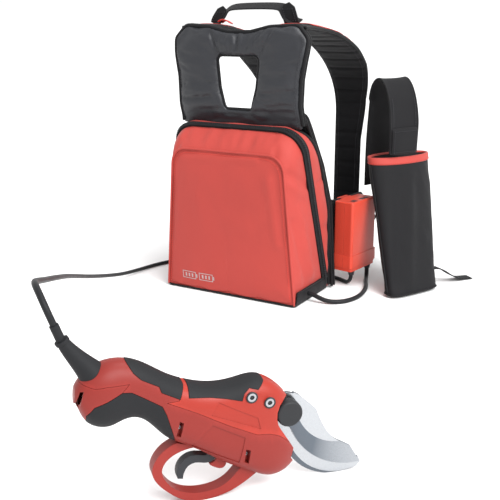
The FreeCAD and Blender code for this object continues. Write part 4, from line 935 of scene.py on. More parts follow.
def make_base():
    """The black wrap under the bag, turned up its sides and back, with a bound edge."""
    corners = [(-134.0, -70.5), (134.0, -70.5), (134.0, 62.0), (-134.0, 62.0)]
    plan = rounded(corners, [4.0, 4.0, 7.0, 7.0], 4.0)
    rows = []
    middle = np.array((0.0, -4.0))
    heights = 4.0 + (BASE_RIM - 4.0) * smoothstep(plan[:, 1], -69.5, -63.0)
    for drop, pull in ((0.9, 0.55), (0.2, 0.9), (0.2, 0.975), (1.6, 0.995)):
        rows.append(spots(*(middle + (plan - middle) * pull).T, drop))
    for share in np.linspace(0.1, 1.0, 8):
        puff = 1 + 0.008 * math.sin(math.pi * share)
        rows.append(spots(*(middle + (plan - middle) * puff).T, 1.6 + (heights - 1.6) * share))
    for pull, drop in ((0.988, 0.5), (0.978, -2.0)):
        rows.append(spots(*(middle + (plan - middle) * pull).T, heights + drop))
    floor_row = rows[0].copy()
    floor_row[:, :2] = mm(middle)
    obj = merge(grid("base_wrap", np.array([floor_row] + rows), around=True))
    push(obj, lambda points, normals: 0.0007 * ripple(points, 60.0, 21)
         * smoothstep(points[:, 2], 0.004, 0.012))
    flat_uv(obj)
    piece(obj, "black_fabric", replaces=("bag_base",))
    edge = spots(*(middle + (plan - middle) * 1.004).T, heights - 0.4)
    binding("base_binding", edge, 0.0013, closed=True)


PANEL_BACK = ((79.0, 2.0), (76.0, 154.0), (47.0, 233.0), (4.0, 304.0), (-14.0, 330.0))


def make_back_panel():
    """The padded panel against the wearer's back, its sewn channels and bound edges."""
    outline = rounded([(-140, 2.5), (140, 2.5), (121, 331), (-121, 331)], [10, 10, 12, 12], 5.0)
    depths, heights = zip(*PANEL_BACK)

    def place(u, v, high):
        return spots(u, np.interp(v, heights, depths) - 8.0 + high, v)

    obj = cushion("back_pad", outline, place, 5.6, centre=(0.0, 160.0), count=300, rings=26,
                  full=9.0)

    def channels(points, normals):
        x, z = np.abs(points[:, 0]), points[:, 2]
        rear = smoothstep(normals[:, 1], 0.2, 0.7)
        seams = np.exp(-((x - 0.030) / 0.004) ** 2) + np.exp(-((x - 0.105) / 0.004) ** 2)
        for level in (0.075, 0.150, 0.225):
            seams += np.exp(-((z - level) / 0.004) ** 2) * (x > 0.030) * (x < 0.105)
        pads = smoothstep(x, 0.032, 0.05) * (1 - smoothstep(x, 0.088, 0.104))
        return rear * (0.0035 * pads - 0.0028 * np.minimum(seams, 1.0))

    push(obj, channels)
    piece(obj, "mesh_cloth", replaces=("back_panel",))
    for y_shift, name, grow in ((-4.6, "panel_binding_front", 0.0), (3.6, "panel_binding_back", 0.6)):
        line = rounded([(-140 - grow, 4.0), (-121 - grow, 329 + grow), (121 + grow, 329 + grow),
                        (140 + grow, 4.0)], [0, 12, 12, 0], 5.0, closed=False)
        binding(name, place(*line.T, y_shift), 0.0026)
    trim = rounded([(-139, 4.0), (-120.5, 328), (120.5, 328), (139, 4.0)], [0, 12, 12, 0], 5.0,
                   closed=False)
    edge = sweep("panel_edge", place(*trim.T, -0.4), slab(7.0 * MM, 2.0 * MM), up=(0, 0, 1))
    piece(edge, "black_fabric")


# ---------------------------------------------------------------- harness
YOKE_MIDDLE = -35.0
YOKE_CENTRE = (0.0, 378.0)
YOKE_SIDE = ((120.0, 302.0), (119.0, 345.0), (120.5, 385.0), (128.0, 428.0), (130.0, 450.0))
YOKE_CROWN = ((111.0, 471.5), (60.0, 469.0), (22.0, 460.5))
NECK = ((-42.0, 422.0), (42.0, 422.0), (36.0, 368.0), (26.0, 330.0), (-26.0, 330.0), (-36.0, 368.0))


def yoke_outline(grow=0.0):
    """The yoke's outline seen from the front."""
    half = [(x + grow, z) for x, z in YOKE_SIDE] + [(x, z + grow) for x, z in YOKE_CROWN]
    corners = half + [(-x, z) for x, z in reversed(half)]
    radii = [3, 30, 40, 40, 12, 15, 26, 20]
    return rounded(corners, radii + radii[::-1], 4.0)


def yoke_y(u, v):
    """The Y of the yoke's middle surface: its foot tucks behind the bag, its wings roll back."""
    foot = 1 - smoothstep(v, 306, 344)
    wing = smoothstep(v, 404, 476) ** 1.4 * (0.25 + 0.75 * smoothstep(np.abs(u), 46, 116))
    return YOKE_MIDDLE + 9.5 * foot + 9.0 * wing


def make_yoke():
    """The padded satin yoke with its neck opening, gathers and bound edges."""
    outline = yoke_outline()
    hole = rounded(NECK, 9.0, 3.0)

    def place(u, v, high):
        foot = 1 - smoothstep(v, 306, 344)
        return spots(u, yoke_y(u, v) - high * (1 - 0.62 * foot), v)

    obj = cushion("yoke_pad", outline, place, 9.0, centre=YOKE_CENTRE, hole=hole, count=340,
                  rings=22, full=3.2)
    ring = np.array([v.co for v in obj.data.vertices])
    edge = np.abs(ring[:, 1] - yoke_y(ring[:, 0] / MM, ring[:, 2] / MM) * MM) < 0.0012
    edge |= ring[:, 2] < 0.345
    inflate(obj, edge, pressure=2.0, expand=0.012, cap=0.004)

    def wrinkles(points, normals):
        x, z = points[:, 0] / MM, points[:, 2] / MM
        front = smoothstep(-normals[:, 1], 0.0, 0.6)
        sides = smoothstep(np.abs(x), 46, 62) * (1 - smoothstep(np.abs(x), 104, 118))
        level = 0.0034 * sides * ripple(points * (0.55, 1.0, 2.2), 24.0, 31)
        fine = 0.0009 * ripple(points * (0.8, 1.0, 2.4), 60.0, 32)
        gather = np.exp(-((x - 4) / 40) ** 2) * smoothstep(z, 424, 436)
        gather *= 1 - smoothstep(z, 452, 462)
        pleats = 0.0062 * gather * ripple(points * (3.2, 0.2, 0.45), 30.0, 33)
        lower = 1 - smoothstep(z, 322, 336)
        crumple = 0.0015 * lower * ripple(points * (0.7, 1.0, 1.6), 44.0, 34)
        lines = creases(points, (
            (3.0, (52, -44, 360), (112, -44, 366), 3.5),
            (3.0, (-52, -44, 352), (-116, -44, 346), 3.5),
            (2.4, (56, -44, 338), (110, -44, 342), 3.0),
            (2.4, (-50, -44, 376), (-104, -44, 372), 3.0),
            (2.1, (70, -44, 404), (114, -44, 412), 3.0),
            (3.0, (44, -44, 424), (66, -44, 462), 3.5),
            (3.0, (-40, -44, 426), (-52, -44, 462), 3.5),
            (3.0, (-118, -44, 330), (118, -44, 328), 4.0)))
        return front * (level + fine + pleats + crumple - lines)

    push(obj, wrinkles)
    piece(obj, "satin", replaces=("yoke",))

    def edge_path(line, shift):
        return spots(line[:, 0], yoke_y(*line.T) + shift, line[:, 1])

    def open_edge(grow, shift):
        """The yoke's edge from one lower corner over the crown to the other."""
        line = yoke_outline(grow)
        turn = np.arctan2(line[:, 0] - YOKE_CENTRE[0], line[:, 1] - YOKE_CENTRE[1])
        line = line[np.argsort(turn)]
        return edge_path(line[line[:, 1] > 304.5], shift)

    binding("yoke_binding", open_edge(0.4, -0.5), 0.0033)
    binding("yoke_binding_rear", open_edge(1.2, 6.0), 0.0027)
    binding("neck_binding", edge_path(hole, 0.0), 0.0024, closed=True)
    seam = yoke_outline(-6.0)
    seam = seam[(seam[:, 1] > 306) & (np.abs(seam[:, 0]) > 60)]
    for sign, name in ((1, "right"), (-1, "left")):
        half = seam[seam[:, 0] * sign > 0]
        half = half[np.argsort(half[:, 1])]
        half = half[half[:, 1] < 460]
        line = edge_path(half, -8.2)
        piece(stitches("yoke_stitches_" + name, [(line, (0, -1, 0))]), "thread")


STRAP_TOP, STRAP_FRONT, STRAP_END = 468.0, 267.6, 92.0
STRAP_CREST, STRAP_DROP = -20.0, 168.0


def strap_path():
    """The strap's centre line in side view, from the yoke over the shoulder to the belt."""
    points = [(YOKE_MIDDLE + 11.5, STRAP_TOP)]
    reach = STRAP_FRONT - STRAP_CREST
    for turn in np.radians(np.linspace(90, 0, 60)):
        points.append((STRAP_CREST + reach * math.cos(turn),
                       STRAP_TOP - STRAP_DROP * (1 - math.sin(turn))))
    for z in np.linspace(STRAP_TOP - STRAP_DROP, STRAP_END, 36)[1:]:
        points.append((STRAP_FRONT, z))
    return np.array(points)


def make_straps():
    """Padded shoulder straps with quilting lines, bound edges and a red shoulder cover."""
    side = strap_path()
    line = resample(np.column_stack([np.zeros(len(side)), side]) * MM, 0.0035)
    ways = directions(line)
    out = np.cross((1.0, 0.0, 0.0), ways)
    out /= np.linalg.norm(out, axis=1, keepdims=True)
    at = lengths(line)
    heights = line[:, 2] / MM
    section = slab(1.0, 1.0, 3.4, 40)
    for sign, name in ((1, "right"), (-1, "left")):
        inner = 51.0 + 1.0 * (1 - smoothstep(heights, 340, 440))
        outer = np.interp(heights, (250, 330, 400, 430, 456, 468), (102, 112, 132, 135, 132, 120))
        middle = (inner + outer) / 2
        wide = (outer - inner) / 2
        quilt = 0.5 - 0.5 * np.cos(at * 2 * math.pi / 0.030)
        pinch = 1 - 0.34 * np.exp(-((1 - quilt) / 0.06) ** 2)
        ends = 1.0 - 0.55 * (1 - smoothstep(heights, 92, 104)) - 0.5 * (1 - smoothstep(at, 0.0, 0.010))
        half = 6.0 * pinch * ends
        rows = []
        for i, spot in enumerate(line):
            x = sign * middle[i] + section[:, 0] * 2 * wide[i]
            rows.append(spot[None] + spots(x, 0.0, 0.0)
                        + out[i][None] * (section[:, 1:] * 2 * half[i] * MM))
        obj = grid("strap_" + name, np.array(rows), around=True, cap_ends=True)
        push(obj, lambda points, normals: 0.0011 * ripple(points, 22.0, 41 + sign)
             + 0.0006 * ripple(points * (0.5, 2.0, 2.0), 60.0, 43 + sign))
        merge(obj)
        piece(obj, "black_fabric", replaces=("shoulder_strap_" + name,))
        for edge, label in ((inner - 0.5, "inner"), (outer + 0.5, "outer")):
            path = line.copy()
            path[:, 0] = sign * edge * MM
            binding("strap_" + name + "_" + label, path, 0.0026)
        seams = []
        for edge in (inner + 6.0, outer - 6.0):
            path = line - out * (half * 0.86 + 0.2)[:, None] * MM
            path[:, 0] = sign * edge * MM
            seams.append((path[6:-8], (0, -0.7, -0.7)))
        piece(stitches("strap_stitches_" + name, seams), "thread")
        cover = []
        for share in np.linspace(-1, 1, 15):
            lift = 6.4 + 1.0 * math.cos(share * math.pi / 2) - 2.2 * abs(share) ** 6
            path = line + out * (lift * (0.6 + 0.4 * pinch) * MM)[:, None]
            path[:, 0] = sign * (middle + share * wide * 0.95) * MM
            cover.append(path[9:int(0.52 * len(line))])
        red = grid("shoulder_cover_" + name, np.array(cover))
        push(red, lambda points, normals: 0.0006 * ripple(points, 40.0, 47 + sign)
             * np.sign(normals[:, 2] + 0.01))
        solid = red.modifiers.new("thick", "SOLIDIFY")
        solid.thickness = 0.0008
        piece(red, "red_lining")


def ribbon(name, path, width, thick, up, finish_name="black_webbing", replaces=()):
    """A length of webbing along a path, with rounded edges."""
    obj = sweep(name, path, slab(width * MM, thick * MM, 6.0, 24), up=up)
    return piece(obj, finish_name, replaces=replaces)


def make_handle():
    """The webbing carry handle with its folded and stitched ends."""
    base = STRAP_TOP + 6.4
    top = [(-84.0, base + 1.6), (-74.0, base + 3.4), (-68.0, base + 10.0), (-58.0, base + 23.0),
           (-48.0, base + 28.0), (-20.0, base + 29.3), (20.0, base + 29.6), (44.0, base + 28.6),
           (54.0, base + 26.0), (60.0, base + 19.0), (66.0, base + 9.0), (74.0, base + 3.6),
           (84.0, base + 1.6)]
    line = resample(mm([(x, 26.0, z) for x, z in top]), 0.0022, smooth=2)
    twist = np.sin(np.linspace(0, math.pi, len(line)))
    line[:, 1] += 0.0016 * twist
    ribbon("handle", line, 25.0, 2.8, (0, -0.42, 0.9), replaces=("carry_handle",))
    tabs = (("left", ((-82.0, 24.0, base - 1.0), (-80.0, 22.6, base + 4.0),
                      (-73.0, 22.4, base + 14.0), (-62.0, 22.6, base + 27.0)), 21.0),
            ("right", ((72.0, 24.0, base - 1.0), (71.0, 22.0, base + 5.0),
                       (67.0, 21.6, base + 17.0), (61.0, 22.4, base + 33.0)), 27.0))
    for name, route, wide in tabs:
        path = resample(mm(route), 0.002, smooth=2)
        taper = np.interp(np.linspace(0, 1, len(path)), (0, 0.7, 1), (1.0, 0.98, 0.45))
        tab = sweep("handle_end_" + name, path, slab(wide * MM, 3.6 * MM, 5.0, 28),
                    up=(0, -1, 0.1), scale=taper)
        piece(tab, "black_webbing")
        low, high = (path + mm((side * 0.34 * wide, -2.1, 0.0)) for side in (-1, 1))
        rows = [low[3:-5], high[3:-5]] + [np.array((low[k], high[k])) for k in (3, -6)]
        piece(stitches("handle_stitches_" + name, [(row, (0, -1, 0)) for row in rows]), "thread")
    tab = [(-70.0, 20.0, base + 2.0), (-62.0, 18.0, base + 6.0), (-54.0, 17.0, base + 5.0),
           (-45.0, 16.0, base + 0.5)]
    ribbon("handle_tab", resample(mm(tab), 0.002, smooth=2), 13.0, 2.0, (0, 0.2, 1), "red_lining")


BELT_ROUTE = ((96.0, 83.0), (117.0, 84.5), (129.0, 89.0), (132.0, 98.2), (143.2, 178.0),
              (143.0, 222.0), (132.0, 258.0), (110.0, 277.6), (70.0, 280.0))
BELT_TAPER = ((60.0, 50.0, 160.0), (185.0, 50.0, 160.0), (225.0, 72.0, 126.0),
              (300.0, 80.0, 118.0))


def make_belt():
    """Padded hip wings, each with bound edges and a web strap stitched along it."""
    for sign, name in ((1, "right"), (-1, "left")):
        plan = resample(mm([(sign * x, y, 0) for x, y in BELT_ROUTE]), 0.004, smooth=2)
        ways = directions(plan)
        out = np.cross(ways, (0.0, 0.0, float(sign)))
        depths, bottoms, tops = zip(*BELT_TAPER)
        y = plan[:, 1] / MM
        low, high = np.interp(y, depths, bottoms), np.interp(y, depths, tops)
        section = slab(1.0, 1.0, 3.2, 44)
        rows = []
        for i, spot in enumerate(plan):
            tall = (high[i] - low[i]) / 2
            z = (high[i] + low[i]) / 2 + section[:, 0] * 2 * tall
            ridge = 1 - 0.28 * np.exp(-((np.abs(section[:, 0]) - 0.30) / 0.05) ** 2)
            rows.append(spot[None] + np.column_stack([np.zeros((len(z), 2)), z * MM])
                        + out[i][None] * (section[:, 1:] * 6.2 * ridge[:, None] * MM))
        obj = grid("belt_" + name, np.array(rows), around=True, cap_ends=True)
        push(obj, lambda points, normals: 0.0004 * ripple(points, 40.0, 51 + sign))
        merge(obj)
        piece(obj, "black_fabric", replaces=("waist_belt_" + name,))
        for level, label in ((low, "low"), (high, "high")):
            path = plan.copy()
            path[:, 2] = level * MM
            binding("belt_" + name + "_" + label, path, 0.0022)
        path = plan + out * 0.0033
        path[:, 2] = (low + high) / 2 * MM
        web = resample(path[14:-1], 0.004)
        ribbon("belt_web_" + name, web, 26.0, 1.4, np.array((0.0, 0.0, 1.0)))
        seams = [(web + mm((0, 0, shift)) + out[14] * 0.0008, tuple(out[14]))
                 for shift in (-10.0, 10.0)]
        piece(stitches("belt_stitches_" + name, seams), "thread")


def rounded_box(name, low, high, radius, replaces=()):
    """A moulded block with its edges rounded off, between two corners in millimetres."""
    form = bmesh.new()
    bmesh.ops.create_cube(form, size=1.0)
    low, high = np.array(low, float), np.array(high, float)
    for v in form.verts:
        v.co = Vector((low + high) / 2 + np.array(v.co) * (high - low)) * MM
    bmesh.ops.bevel(form, geom=form.edges[:], offset=radius * MM, segments=4, profile=0.5,
                    affect="EDGES")
    mesh = bpy.data.meshes.new(name)
    form.to_mesh(mesh)
    form.free()
    mesh.polygons.foreach_set("use_smooth", [True] * len(mesh.polygons))
    return piece(link(name, mesh), "black_plastic", replaces=replaces)


BUCKLE_BLOCKS = (
    ("rib", (-19.0, 285.2, 90.0), (-6.0, 286.4, 108.0), 0.5),
    ("bar_left", (-31.0, 276.4, 84.0), (-26.6, 283.6, 114.0), 1.6),
    ("neck_left", (-28.0, 277.6, 84.6), (-22.0, 282.4, 89.0), 1.0),
    ("foot_left", (-28.0, 277.6, 109.0), (-22.0, 282.4, 113.4), 1.0),
    ("plug", (2.2, 276.2, 86.0), (12.0, 283.8, 112.0), 1.8),
    ("arm_low", (-4.0, 277.4, 82.0), (6.0, 282.6, 86.4), 1.4),
    ("arm_high", (-4.0, 277.4, 111.6), (6.0, 282.6, 116.0), 1.4),
    ("bar_right", (17.0, 276.4, 84.6), (21.4, 283.6, 113.4), 1.6),
    ("neck_right", (10.0, 277.6, 86.4), (18.6, 282.4, 90.4), 1.0),
    ("foot_right", (10.0, 277.6, 107.6), (18.6, 282.4, 111.6), 1.0))


def make_buckle():
    """The side release buckle in front, on its two lengths of webbing."""
    rounded_box("buckle_socket", (-24.0, 274.6, 82.4), (1.6, 285.4, 115.6), 2.6,
                replaces=("waist_buckle",))
    for name, low, high, radius in BUCKLE_BLOCKS:
        rounded_box("buckle_" + name, low, high, radius)
    for low_x, high_x, name in ((19.2, 72.0, "right"), (-72.0, -28.8, "left")):
        line = mm([(x, 280.0, 99.0) for x in np.linspace(low_x, high_x, 22)])
        ribbon("buckle_web_" + name, line, 22.0, 3.0, (0.0, 0.0, 1.0))


def make_tail():
    """The loose end of the belt's webbing, behind the holster and out over the floor."""
    side = [(-17.0, 32.6), (0.0, 31.6), (15.0, 27.6), (34.0, 14.0), (54.0, 4.2), (68.0, 2.6),
            (84.0, 1.9)]
    turn = math.radians(54.0)
    line = [(296.0 + u * math.cos(turn), 187.0 + u * math.sin(turn), z) for u, z in side]
    path = resample(mm(line), 0.0025, smooth=3)
    across = np.array((-math.sin(turn), math.cos(turn), 0.0))
    path += across * 0.0012 * np.sin(np.linspace(0, 9, len(path)))[:, None]
    ways = directions(path)
    up = np.cross(ways, across)
    up *= np.sign(up[:, 2:])
    ribbon("belt_end", path, 23.0, 2.0, up, replaces=("belt_tail",))


# ---------------------------------------------------------------- holster
HOLSTER_TOP = np.array((207.0, 206.0, 236.0))
HOLSTER_BOTTOM = np.array((277.0, 114.0, 3.0))
HOLSTER_TURN = math.radians(64.0)
HOLSTER_MOUTH = (142.0, 58.0)
HOLSTER_TOE = (112.0, 36.0)
RIM_SECTION = ((224.0, 0.3), (224.0, 1.5), (226.0, 2.0), (230.0, 2.1), (234.0, 2.0),
               (236.4, 1.2), (236.7, 0.2), (236.3, -2.6), (233.6, -2.9))      # height, growth


def holster_centre(z):
    """How far up the holster a height is, from 0 to 1, and its middle there."""
    share = (z - HOLSTER_BOTTOM[2]) / (HOLSTER_TOP[2] - HOLSTER_BOTTOM[2])
    return share, HOLSTER_BOTTOM + (HOLSTER_TOP - HOLSTER_BOTTOM) * share


def holster_ring(z, grow, sides=120):
    """The holster's oval at a height, millimetres."""
    share, centre = holster_centre(z)
    long_axis = (HOLSTER_TOE[0] + (HOLSTER_MOUTH[0] - HOLSTER_TOE[0]) * share) / 2 + grow
    short_axis = (HOLSTER_TOE[1] + (HOLSTER_MOUTH[1] - HOLSTER_TOE[1]) * share) / 2 + grow
    turns = np.arange(sides) * 2 * math.pi / sides
    power = 2 / (2.0 + 1.4 * max(0.0, 1 - share) ** 1.5)
    u = np.sign(np.cos(turns)) * np.abs(np.cos(turns)) ** power * long_axis
    v = np.sign(np.sin(turns)) * np.abs(np.sin(turns)) ** power * short_axis
    x = centre[0] + u * math.cos(HOLSTER_TURN) - v * math.sin(HOLSTER_TURN)
    y = centre[1] + u * math.sin(HOLSTER_TURN) + v * math.cos(HOLSTER_TURN)
    return np.column_stack([x, y, np.full(sides, z)])


def make_holster():
    """The tapered nylon holster with its red bound mouth and turned-in toe."""
    rows = []
    for pull, z in ((0.02, 5.5), (0.5, 4.2), (0.86, 3.4)):
        ring = holster_ring(3.4, -1.0)
        centre = ring.mean(axis=0)
        ring = centre + (ring - centre) * pull
        ring[:, 2] = z
        rows.append(ring)
    rows += [holster_ring(z, grow) for z, grow in ((3.3, -1.2), (4.4, 0.0), (6.5, 0.5))]
    rows += [holster_ring(z, 0.5) for z in np.linspace(12, 235.4, 56)]
    rows += [holster_ring(z, grow)
             for z, grow in zip(np.linspace(235.6, 60, 20), np.linspace(-1.9, -7.5, 20))]
    obj = merge(grid("holster", mm(rows), around=True))
    right = np.array((math.sin(HOLSTER_TURN), -math.cos(HOLSTER_TURN)))

    def folds(points, normals):
        outside = smoothstep(normals[:, 0] * right[0] + normals[:, 1] * right[1], -0.4, 0.4)
        z = points[:, 2]
        soft = 0.0024 * ripple(points * (1.0, 1.0, 0.28), 20.0, 61)
        fine = 0.0007 * ripple(points * (1.0, 1.0, 0.5), 60.0, 62)
        dents = creases(points, ((-4.0, (222, 160, 200), (282, 46, -40), 12),
                                 (3.4, (238, 184, 200), (306, 60, -40), 11)))
        edge = smoothstep(z, 0.004, 0.03) * (1 - 0.8 * smoothstep(z, 0.200, 0.236))
        return (soft + fine + dents * outside) * edge

    push(obj, folds)
    flat = lengths(mm(holster_ring(120, 0.5)))[-1]
    layer = obj.data.uv_layers["cloth"]
    for loop in obj.data.loops:
        co = obj.data.vertices[loop.vertex_index].co
        centre = holster_centre(co.z / MM)[1]
        angle = math.atan2(co.y / MM - centre[1], co.x / MM - centre[0])
        layer.data[loop.index].uv = (angle / (2 * math.pi) * flat, co.z)
    piece(obj, "black_fabric", replaces=("holster_shell",))

    band = [holster_ring(*spot) for spot in RIM_SECTION]
    rim = grid("holster_band", mm(band), around=True)
    piece(rim, "red_fabric", replaces=("holster_rim",))
    row = mm(holster_ring(226.0, 2.3))
    piece(stitches("holster_stitches", [(np.vstack([row, row[:1]]), (0.6, -0.8, 0))]), "red_thread")
    seam = [holster_ring(z, 0.9)[60] for z in np.linspace(8, 222, 60)]
    piece(sweep("holster_seam", resample(mm(seam), 0.003), circle(0.0016, 8)), "piping")
    toe = mm(holster_ring(6.0, 0.9))
    piece(sweep("holster_toe_seam", toe, circle(0.0014, 8), closed=True), "piping")


FLAP_LINE = ((31.5, 243.0), (32.0, 262.0), (31.8, 300.0), (25.2, 339.0), (12.4, 366.0),
             (-4.0, 378.6), (-21.5, 364.5), (-30.3, 329.0), (-33.0, 280.0), (-31.6, 232.0),
             (-31.0, 176.0))


FOLD_SECTION = ((241.0, 24.0, 2.0, 0.0), (242.0, 31.0, 6.0, 0.4), (248.0, 32.0, 8.4, 0.8),
                (262.0, 31.6, 9.4, 1.2), (276.0, 31.8, 9.0, 1.0), (286.0, 32.2, 8.6, 0.8),
                (289.0, 32.0, 6.4, 0.2), (290.0, 26.0, 2.0, 0.0))   # height, half, depth, shift


def make_flap():
    """The wide strap that loops over the holster's mouth, with its folded closing block."""
    turn = HOLSTER_TURN - math.pi / 2
    out = np.array((math.cos(turn), math.sin(turn), 0.0))
    across = np.array((-math.sin(turn), math.cos(turn), 0.0))
    start = np.array((HOLSTER_TOP[0], HOLSTER_TOP[1], 0.0))

    def spot(u, v, z):
        return start + out * (u - 7.0) + across * (v - 14.0) + np.array((0, 0, z))

    line = resample(mm([(u, 0, z) for u, z in FLAP_LINE]), 0.004, smooth=3)
    normals = np.cross(directions(line), (0.0, -1.0, 0.0))
    shares = np.linspace(0, 1, len(line))
    widths = 33.0 - 3.5 * np.exp(-((shares - 0.62) / 0.16) ** 2)
    widths += 1.5 * np.exp(-((shares - 0.16) / 0.08) ** 2)
    stations = list(zip(line, normals, shares, widths))
    rows = []
    for point, normal, share, wide in stations:
        ring = []
        for u, h in slab(2 * wide, 3.6, 7.0, 44):
            ripple_here = 1.2 * noise.noise(Vector((u * 0.03, share * 5.0, 3.0)))
            edge_curl = 2.2 * (abs(u) / wide) ** 4
            lift = h + ripple_here + (edge_curl if share < 0.55 else -edge_curl * 0.4)
            ring.append(spot(point[0] / MM + normal[0] * lift, u, point[2] / MM + normal[2] * lift))
        rows.append(ring)
    obj = merge(grid("holster_strap", mm(rows), around=True, cap_ends=True))
    push(obj, lambda points, normals: 0.0006 * ripple(points, 55.0, 71))
    piece(obj, "black_fabric", replaces=("holster_flap",))

    block = []
    for z, wide, thick, push_out in FOLD_SECTION:
        ring = [spot(34.0 + h + push_out + 0.8 * noise.noise(Vector((v * 0.05, z * 0.05, 1))), v, z)
                for v, h in slab(2 * wide, thick, 4.5, 44)]
        block.append(ring)
    fold = merge(grid("holster_fold", mm(block), around=True, cap_ends=True))
    refine(fold)
    push(fold, lambda points, normals: 0.0008 * ripple(points, 45.0, 73))
    piece(fold, "black_fabric")
    seams = [(mm([spot(39.2, v, z) for v in (-27, -9, 9, 27)]), out) for z in (246.0, 284.0)]
    edge = ((34.8, 294.0), (34.9, 302.0), (30.7, 330.0), (28.3, 341.0))
    for v in (-27.5, 27.5):
        seams.append((mm([spot(39.4, v, z) for z in (246, 265, 284)]), out))
        seams.append((mm([spot(u, v, z) for u, z in edge]), out))
    piece(stitches("holster_strap_stitches", seams), "thread")
    hang = [(181.0, 214.0, 182.0), (172.0, 216.0, 158.0), (158.0, 214.0, 132.0),
            (150.6, 212.0, 112.0), (149.6, 211.0, 88.0)]
    ribbon("holster_hanger", resample(mm(hang), 0.003, smooth=2), 34.0, 2.4, (1.0, 0.1, 0.6))
    for sign, name in ((-1, "left"), (1, "right")):
        edge = []
        for point, normal, share, wide in stations:
            lift = 2.2 if share < 0.55 else -0.9
            edge.append(spot(point[0] / MM + normal[0] * lift, sign * wide,
                             point[2] / MM + normal[2] * lift))
        binding("strap_edge_" + name, mm(edge), 0.0018)


# ---------------------------------------------------------------- prints and marks
def printed(name, face, surface, lift, finish_name):
    """A thin print laid on a surface: flat (x, z) polygons pressed on along +Y."""
    tree = BVHTree.FromPolygons([v.co for v in surface.data.vertices],
                                [p.vertices for p in surface.data.polygons])
    points, faces = [], []
    for outline in face:
        base = len(points)
        for x, z in outline:
            hit = tree.ray_cast(Vector((x, -300.0, z)) * MM, Vector((0, 1, 0)))[0]
            points.append(hit - Vector((0, lift, 0)))
        faces.append(tuple(range(base, len(points))))
    return piece(new_mesh(name, points, faces, [(p[0], p[2]) for p in points]), finish_name)


def bar(x0, z0, x1, z1, thick):
    """A strip of small quads between two points."""
    way = np.array((x1 - x0, z1 - z0), float)
    far = np.linalg.norm(way)
    way = way / far
    side = np.array((-way[1], way[0])) * thick / 2
    count = max(1, int(far / 4))
    quads = []
    for i in range(count):
        a = np.array((x0, z0)) + way * far * i / count
        b = np.array((x0, z0)) + way * far * (i + 1) / count
        quads.append([a - side, b - side, b + side, a + side])
    return quads


def make_marks(front):
    """A small printed battery sign near the bottom of the front panel."""
    strips = []
    for x in (-96.0, -60.0):
        for z in (36.0, 23.0):
            strips += bar(x, z, x + 28.0, z, 1.4)
        for end in (x, x + 28.0):
            strips += bar(end, 22.3, end, 36.7, 1.4)
        strips += bar(x + 30.4, 26.0, x + 30.4, 33.0, 2.6)
        for mark in (7.0, 14.0, 21.0):
            strips += bar(x + mark, 26.0, x + mark, 33.0, 3.4)
    printed("battery_sign", strips, front, 0.25 * MM, "pale_print")


# ---------------------------------------------------------------- moulded parts
def tool_point(x, y, z):
    """A point of the pruner's own frame (nose along +X, left along +Y) in the scene, metres."""
    c, s = math.cos(TOOL_TURN), math.sin(TOOL_TURN)
    return np.array((TOOL_FOOT.x + (x * c - y * s) * MM, TOOL_FOOT.y + (x * s + y * c) * MM,
                     z * MM))


EYELETS = ((60.0, 115.5), (79.0, 107.0))         # the head bolts in the pruner's own frame


def make_eyelets():
    """Dark seals round the two head bolts, and thin black discs as painted shade in the bottoms of
    their sockets.
    """
    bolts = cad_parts["head_bolts"].data.vertices
    spots = np.array([v.co for v in bolts])
    foot = np.array(TOOL_FOOT)
    nose = np.array((math.cos(TOOL_TURN), math.sin(TOOL_TURN), 0.0))
    left = np.array((-math.sin(TOOL_TURN), math.cos(TOOL_TURN), 0.0))
    along, across = (spots - foot) @ nose / MM, (spots - foot) @ left / MM
    for index, (x, z) in enumerate(EYELETS):
        near = (np.abs(along - x) < 6) & (np.abs(spots[:, 2] / MM - z) < 6)
        for side, name in ((-1, "right"), (1, "left")):
            face = (across[near] * side).max() * side
            turns = np.linspace(0, 2 * math.pi, 33)[:-1]
            ring = np.array([tool_point(x + 5.3 * math.cos(t), face - side * 0.3,
                                        z + 5.3 * math.sin(t)) for t in turns])
            seal = sweep(f"bolt_seal_{name}_{index}", ring, circle(0.0009, 8), closed=True)
            piece(seal, "black_plastic", "pruner")
            # Painted shade: a thin black disc near each socket's bottom stands in for the shadow in
            # the hex socket.
            rows = [[tool_point(x + reach * math.cos(t), face - side * deep,
                                z + reach * math.sin(t)) for t in turns]
                    for reach, deep in ((0.3, 0.6), (2.4, 0.6), (2.4, 0.9), (0.3, 0.9))]
            socket_shade = grid(f"painted_socket_shade_{name}_{index}", np.array(rows), around=True, cap_ends=True)
            piece(socket_shade, "black_plastic", "pruner")


def level_faces(mesh, corner=40.0):
    """Shades a moulded box by face area, so that its flats stay flat beside their fillets."""
    limit = math.cos(math.radians(corner))
    around = [[] for _ in mesh.vertices]
    for face in mesh.polygons:
        for vertex in face.vertices:
            around[vertex].append(face)
    normals = []
    for face in mesh.polygons:
        for vertex in face.vertices:
            total = Vector((0.0, 0.0, 0.0))
            for other in around[vertex]:
                if other.normal.dot(face.normal) > limit:
                    total += other.normal * other.area
            normals.append(total.normalized())
    mesh.normals_split_custom_set(normals)


